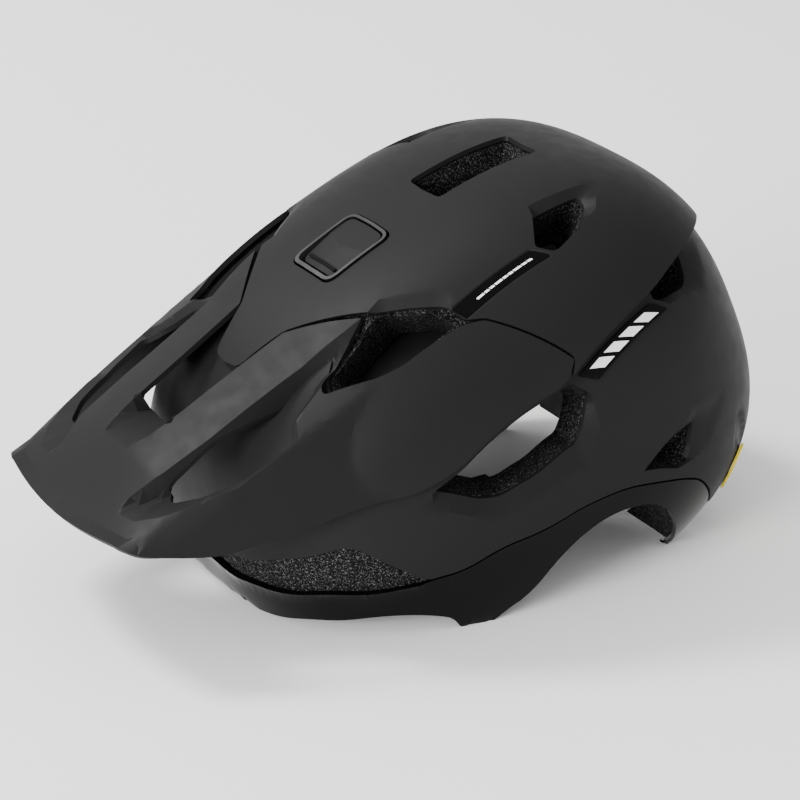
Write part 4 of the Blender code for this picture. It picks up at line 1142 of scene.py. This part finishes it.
def make_strap(name, route):
    """A tape swept along a softened route, with its width along Y and a raised selvedge on both edges."""
    path = []
    for index in range(len(route) - 1):
        before, here = route[max(index - 1, 0)], route[index]
        ahead, after = route[index + 1], route[min(index + 2, len(route) - 1)]
        for part in np.linspace(0.0, 1.0, TAPE_STEPS)[:-1]:
            bend = (2 * before - 5 * here + 4 * ahead - after) * part ** 2
            bend = bend + (3 * here - before - 3 * ahead + after) * part ** 3
            path.append(here + 0.5 * ((ahead - before) * part + bend))
    path.append(route[-1])
    half = STRAP_WIDTH / 2
    near = [(inward - half, -rise) for inward, rise in TAPE_SECTION]
    profile = near + [(-across, rise) for across, rise in reversed(near)]
    profile += [(across, -rise) for across, rise in reversed(profile)]
    verts = []
    for index, place in enumerate(path):
        ahead = path[min(index + 1, len(path) - 1)] - path[max(index - 1, 0)]
        up = np.cross([0.0, 1.0, 0.0], ahead)
        up = up / np.linalg.norm(up)
        verts += [place + np.array([0.0, across, 0.0]) + up * rise for across, rise in profile]
    faces = [face[::-1] for face in swept_faces(len(path), len(profile))]
    sculpted(verts, faces, name, FINISH["webbing"], "helmet", stands_for=(name,),
             crease_angle=50.0)


class HELMET_OT_hardware(bpy.types.Operator):
    """Finish the small CAD pieces that keep their shape"""

    bl_idname = "helmet.hardware"
    bl_label = "Hardware"

    def execute(self, context):
        slots = {entry["node"]: entry["material_slot"] for entry in frame["record"]["subparts"]}
        for name, node in frame["nodes"].items():
            if node.hide_render:
                continue
            node.data.materials.clear()
            node.data.materials.append(FINISH[slots[name]])
        return {"FINISHED"}


class HELMET_OT_stage(bpy.types.Operator):
    """Make the floor, the light and the camera"""

    bl_idname = "helmet.stage"
    bl_label = "Stage"

    def execute(self, context):
        make_stage(context.scene)
        return {"FINISHED"}


def make_stage(scene):
    """A pale seamless floor, a white surround, soft lights and the camera."""
    mesh = bpy.data.meshes.new("floor")
    reach = FLOOR_HALF
    mesh.from_pydata([(-reach, -reach, 0), (reach, -reach, 0), (reach, reach, 0), (-reach, reach, 0)], [],
                     [(0, 1, 2, 3)])
    floor = bpy.data.objects.new("floor", mesh)
    scene.collection.objects.link(floor)
    made = Nodes("studio_floor")
    made.link(made.ramp(made.noise(3.0), 0.3, 0.7, grey(0.97), grey(0.98)), made.shader.inputs["Base Color"])
    made.set(Roughness=0.7)
    mesh.materials.append(made.material)
    world = bpy.data.worlds.new("surround")
    world.use_nodes = True
    world.node_tree.nodes["Background"].inputs["Color"].default_value = (1.0, 1.0, 1.0, 1.0)
    world.node_tree.nodes["Background"].inputs["Strength"].default_value = SURROUND
    scene.world = world
    for name, place, size, power in LIGHTS:
        light = bpy.data.lights.new(name, "AREA")
        light.energy = power
        light.size = size
        lamp = bpy.data.objects.new(name, light)
        lamp.location = place
        lamp.rotation_euler = (Vector(LIGHT_TARGET) - Vector(place)).to_track_quat("-Z", "Y").to_euler()
        scene.collection.objects.link(lamp)
    camera = bpy.data.cameras.new("camera")
    camera.lens = LENS
    camera.sensor_width = 36.0
    camera.clip_start, camera.clip_end = 0.05, 50.0
    eye = bpy.data.objects.new("camera", camera)
    back = Vector(VIEW_BACK).normalized()
    eye.location = Vector(VIEW_TARGET) + back * VIEW_DISTANCE
    eye.rotation_euler = (-back).to_track_quat("-Z", "Y").to_euler()
    scene.collection.objects.link(eye)
    scene.camera = eye


class HELMET_PT_panel(bpy.types.Panel):
    """Sidebar panel of the helmet."""

    bl_label = "Trail Helmet"
    bl_idname = "HELMET_PT_panel"
    bl_space_type = "VIEW_3D"
    bl_region_type = "UI"
    bl_category = "Helmet"

    def draw(self, context):
        layout = self.layout
        for group in (context.scene.helmet_sizes, context.scene.helmet_colours):
            for name in group.bl_rna.properties.keys():
                if name not in ("rna_type", "name"):
                    layout.prop(group, name)
        for operator in OPERATORS:
            layout.operator(operator.bl_idname)


OPERATORS = (HELMET_OT_finishes, HELMET_OT_stage, HELMET_OT_foam, HELMET_OT_crown, HELMET_OT_lower,
             HELMET_OT_rim, HELMET_OT_visor, HELMET_OT_trim, HELMET_OT_liner, HELMET_OT_pads,
             HELMET_OT_dial, HELMET_OT_straps, HELMET_OT_hardware)
CLASSES = (HELMET_PG_sizes, HELMET_PG_colours) + OPERATORS + (HELMET_PT_panel,)


def register():
    """Registers the classes and hangs the settings on the scene."""
    for entry in CLASSES:
        bpy.utils.register_class(entry)
    bpy.types.Scene.helmet_sizes = PointerProperty(type=HELMET_PG_sizes)
    bpy.types.Scene.helmet_colours = PointerProperty(type=HELMET_PG_colours)


def unregister():
    """Takes the settings and the classes away."""
    del bpy.types.Scene.helmet_colours
    del bpy.types.Scene.helmet_sizes
    for entry in reversed(CLASSES):
        bpy.utils.unregister_class(entry)


def main():
    """Makes every piece in order."""
    register()
    for operator in OPERATORS:
        group, name = operator.bl_idname.split(".")
        getattr(getattr(bpy.ops, group), name)()


if __name__ == "__main__":
    main()
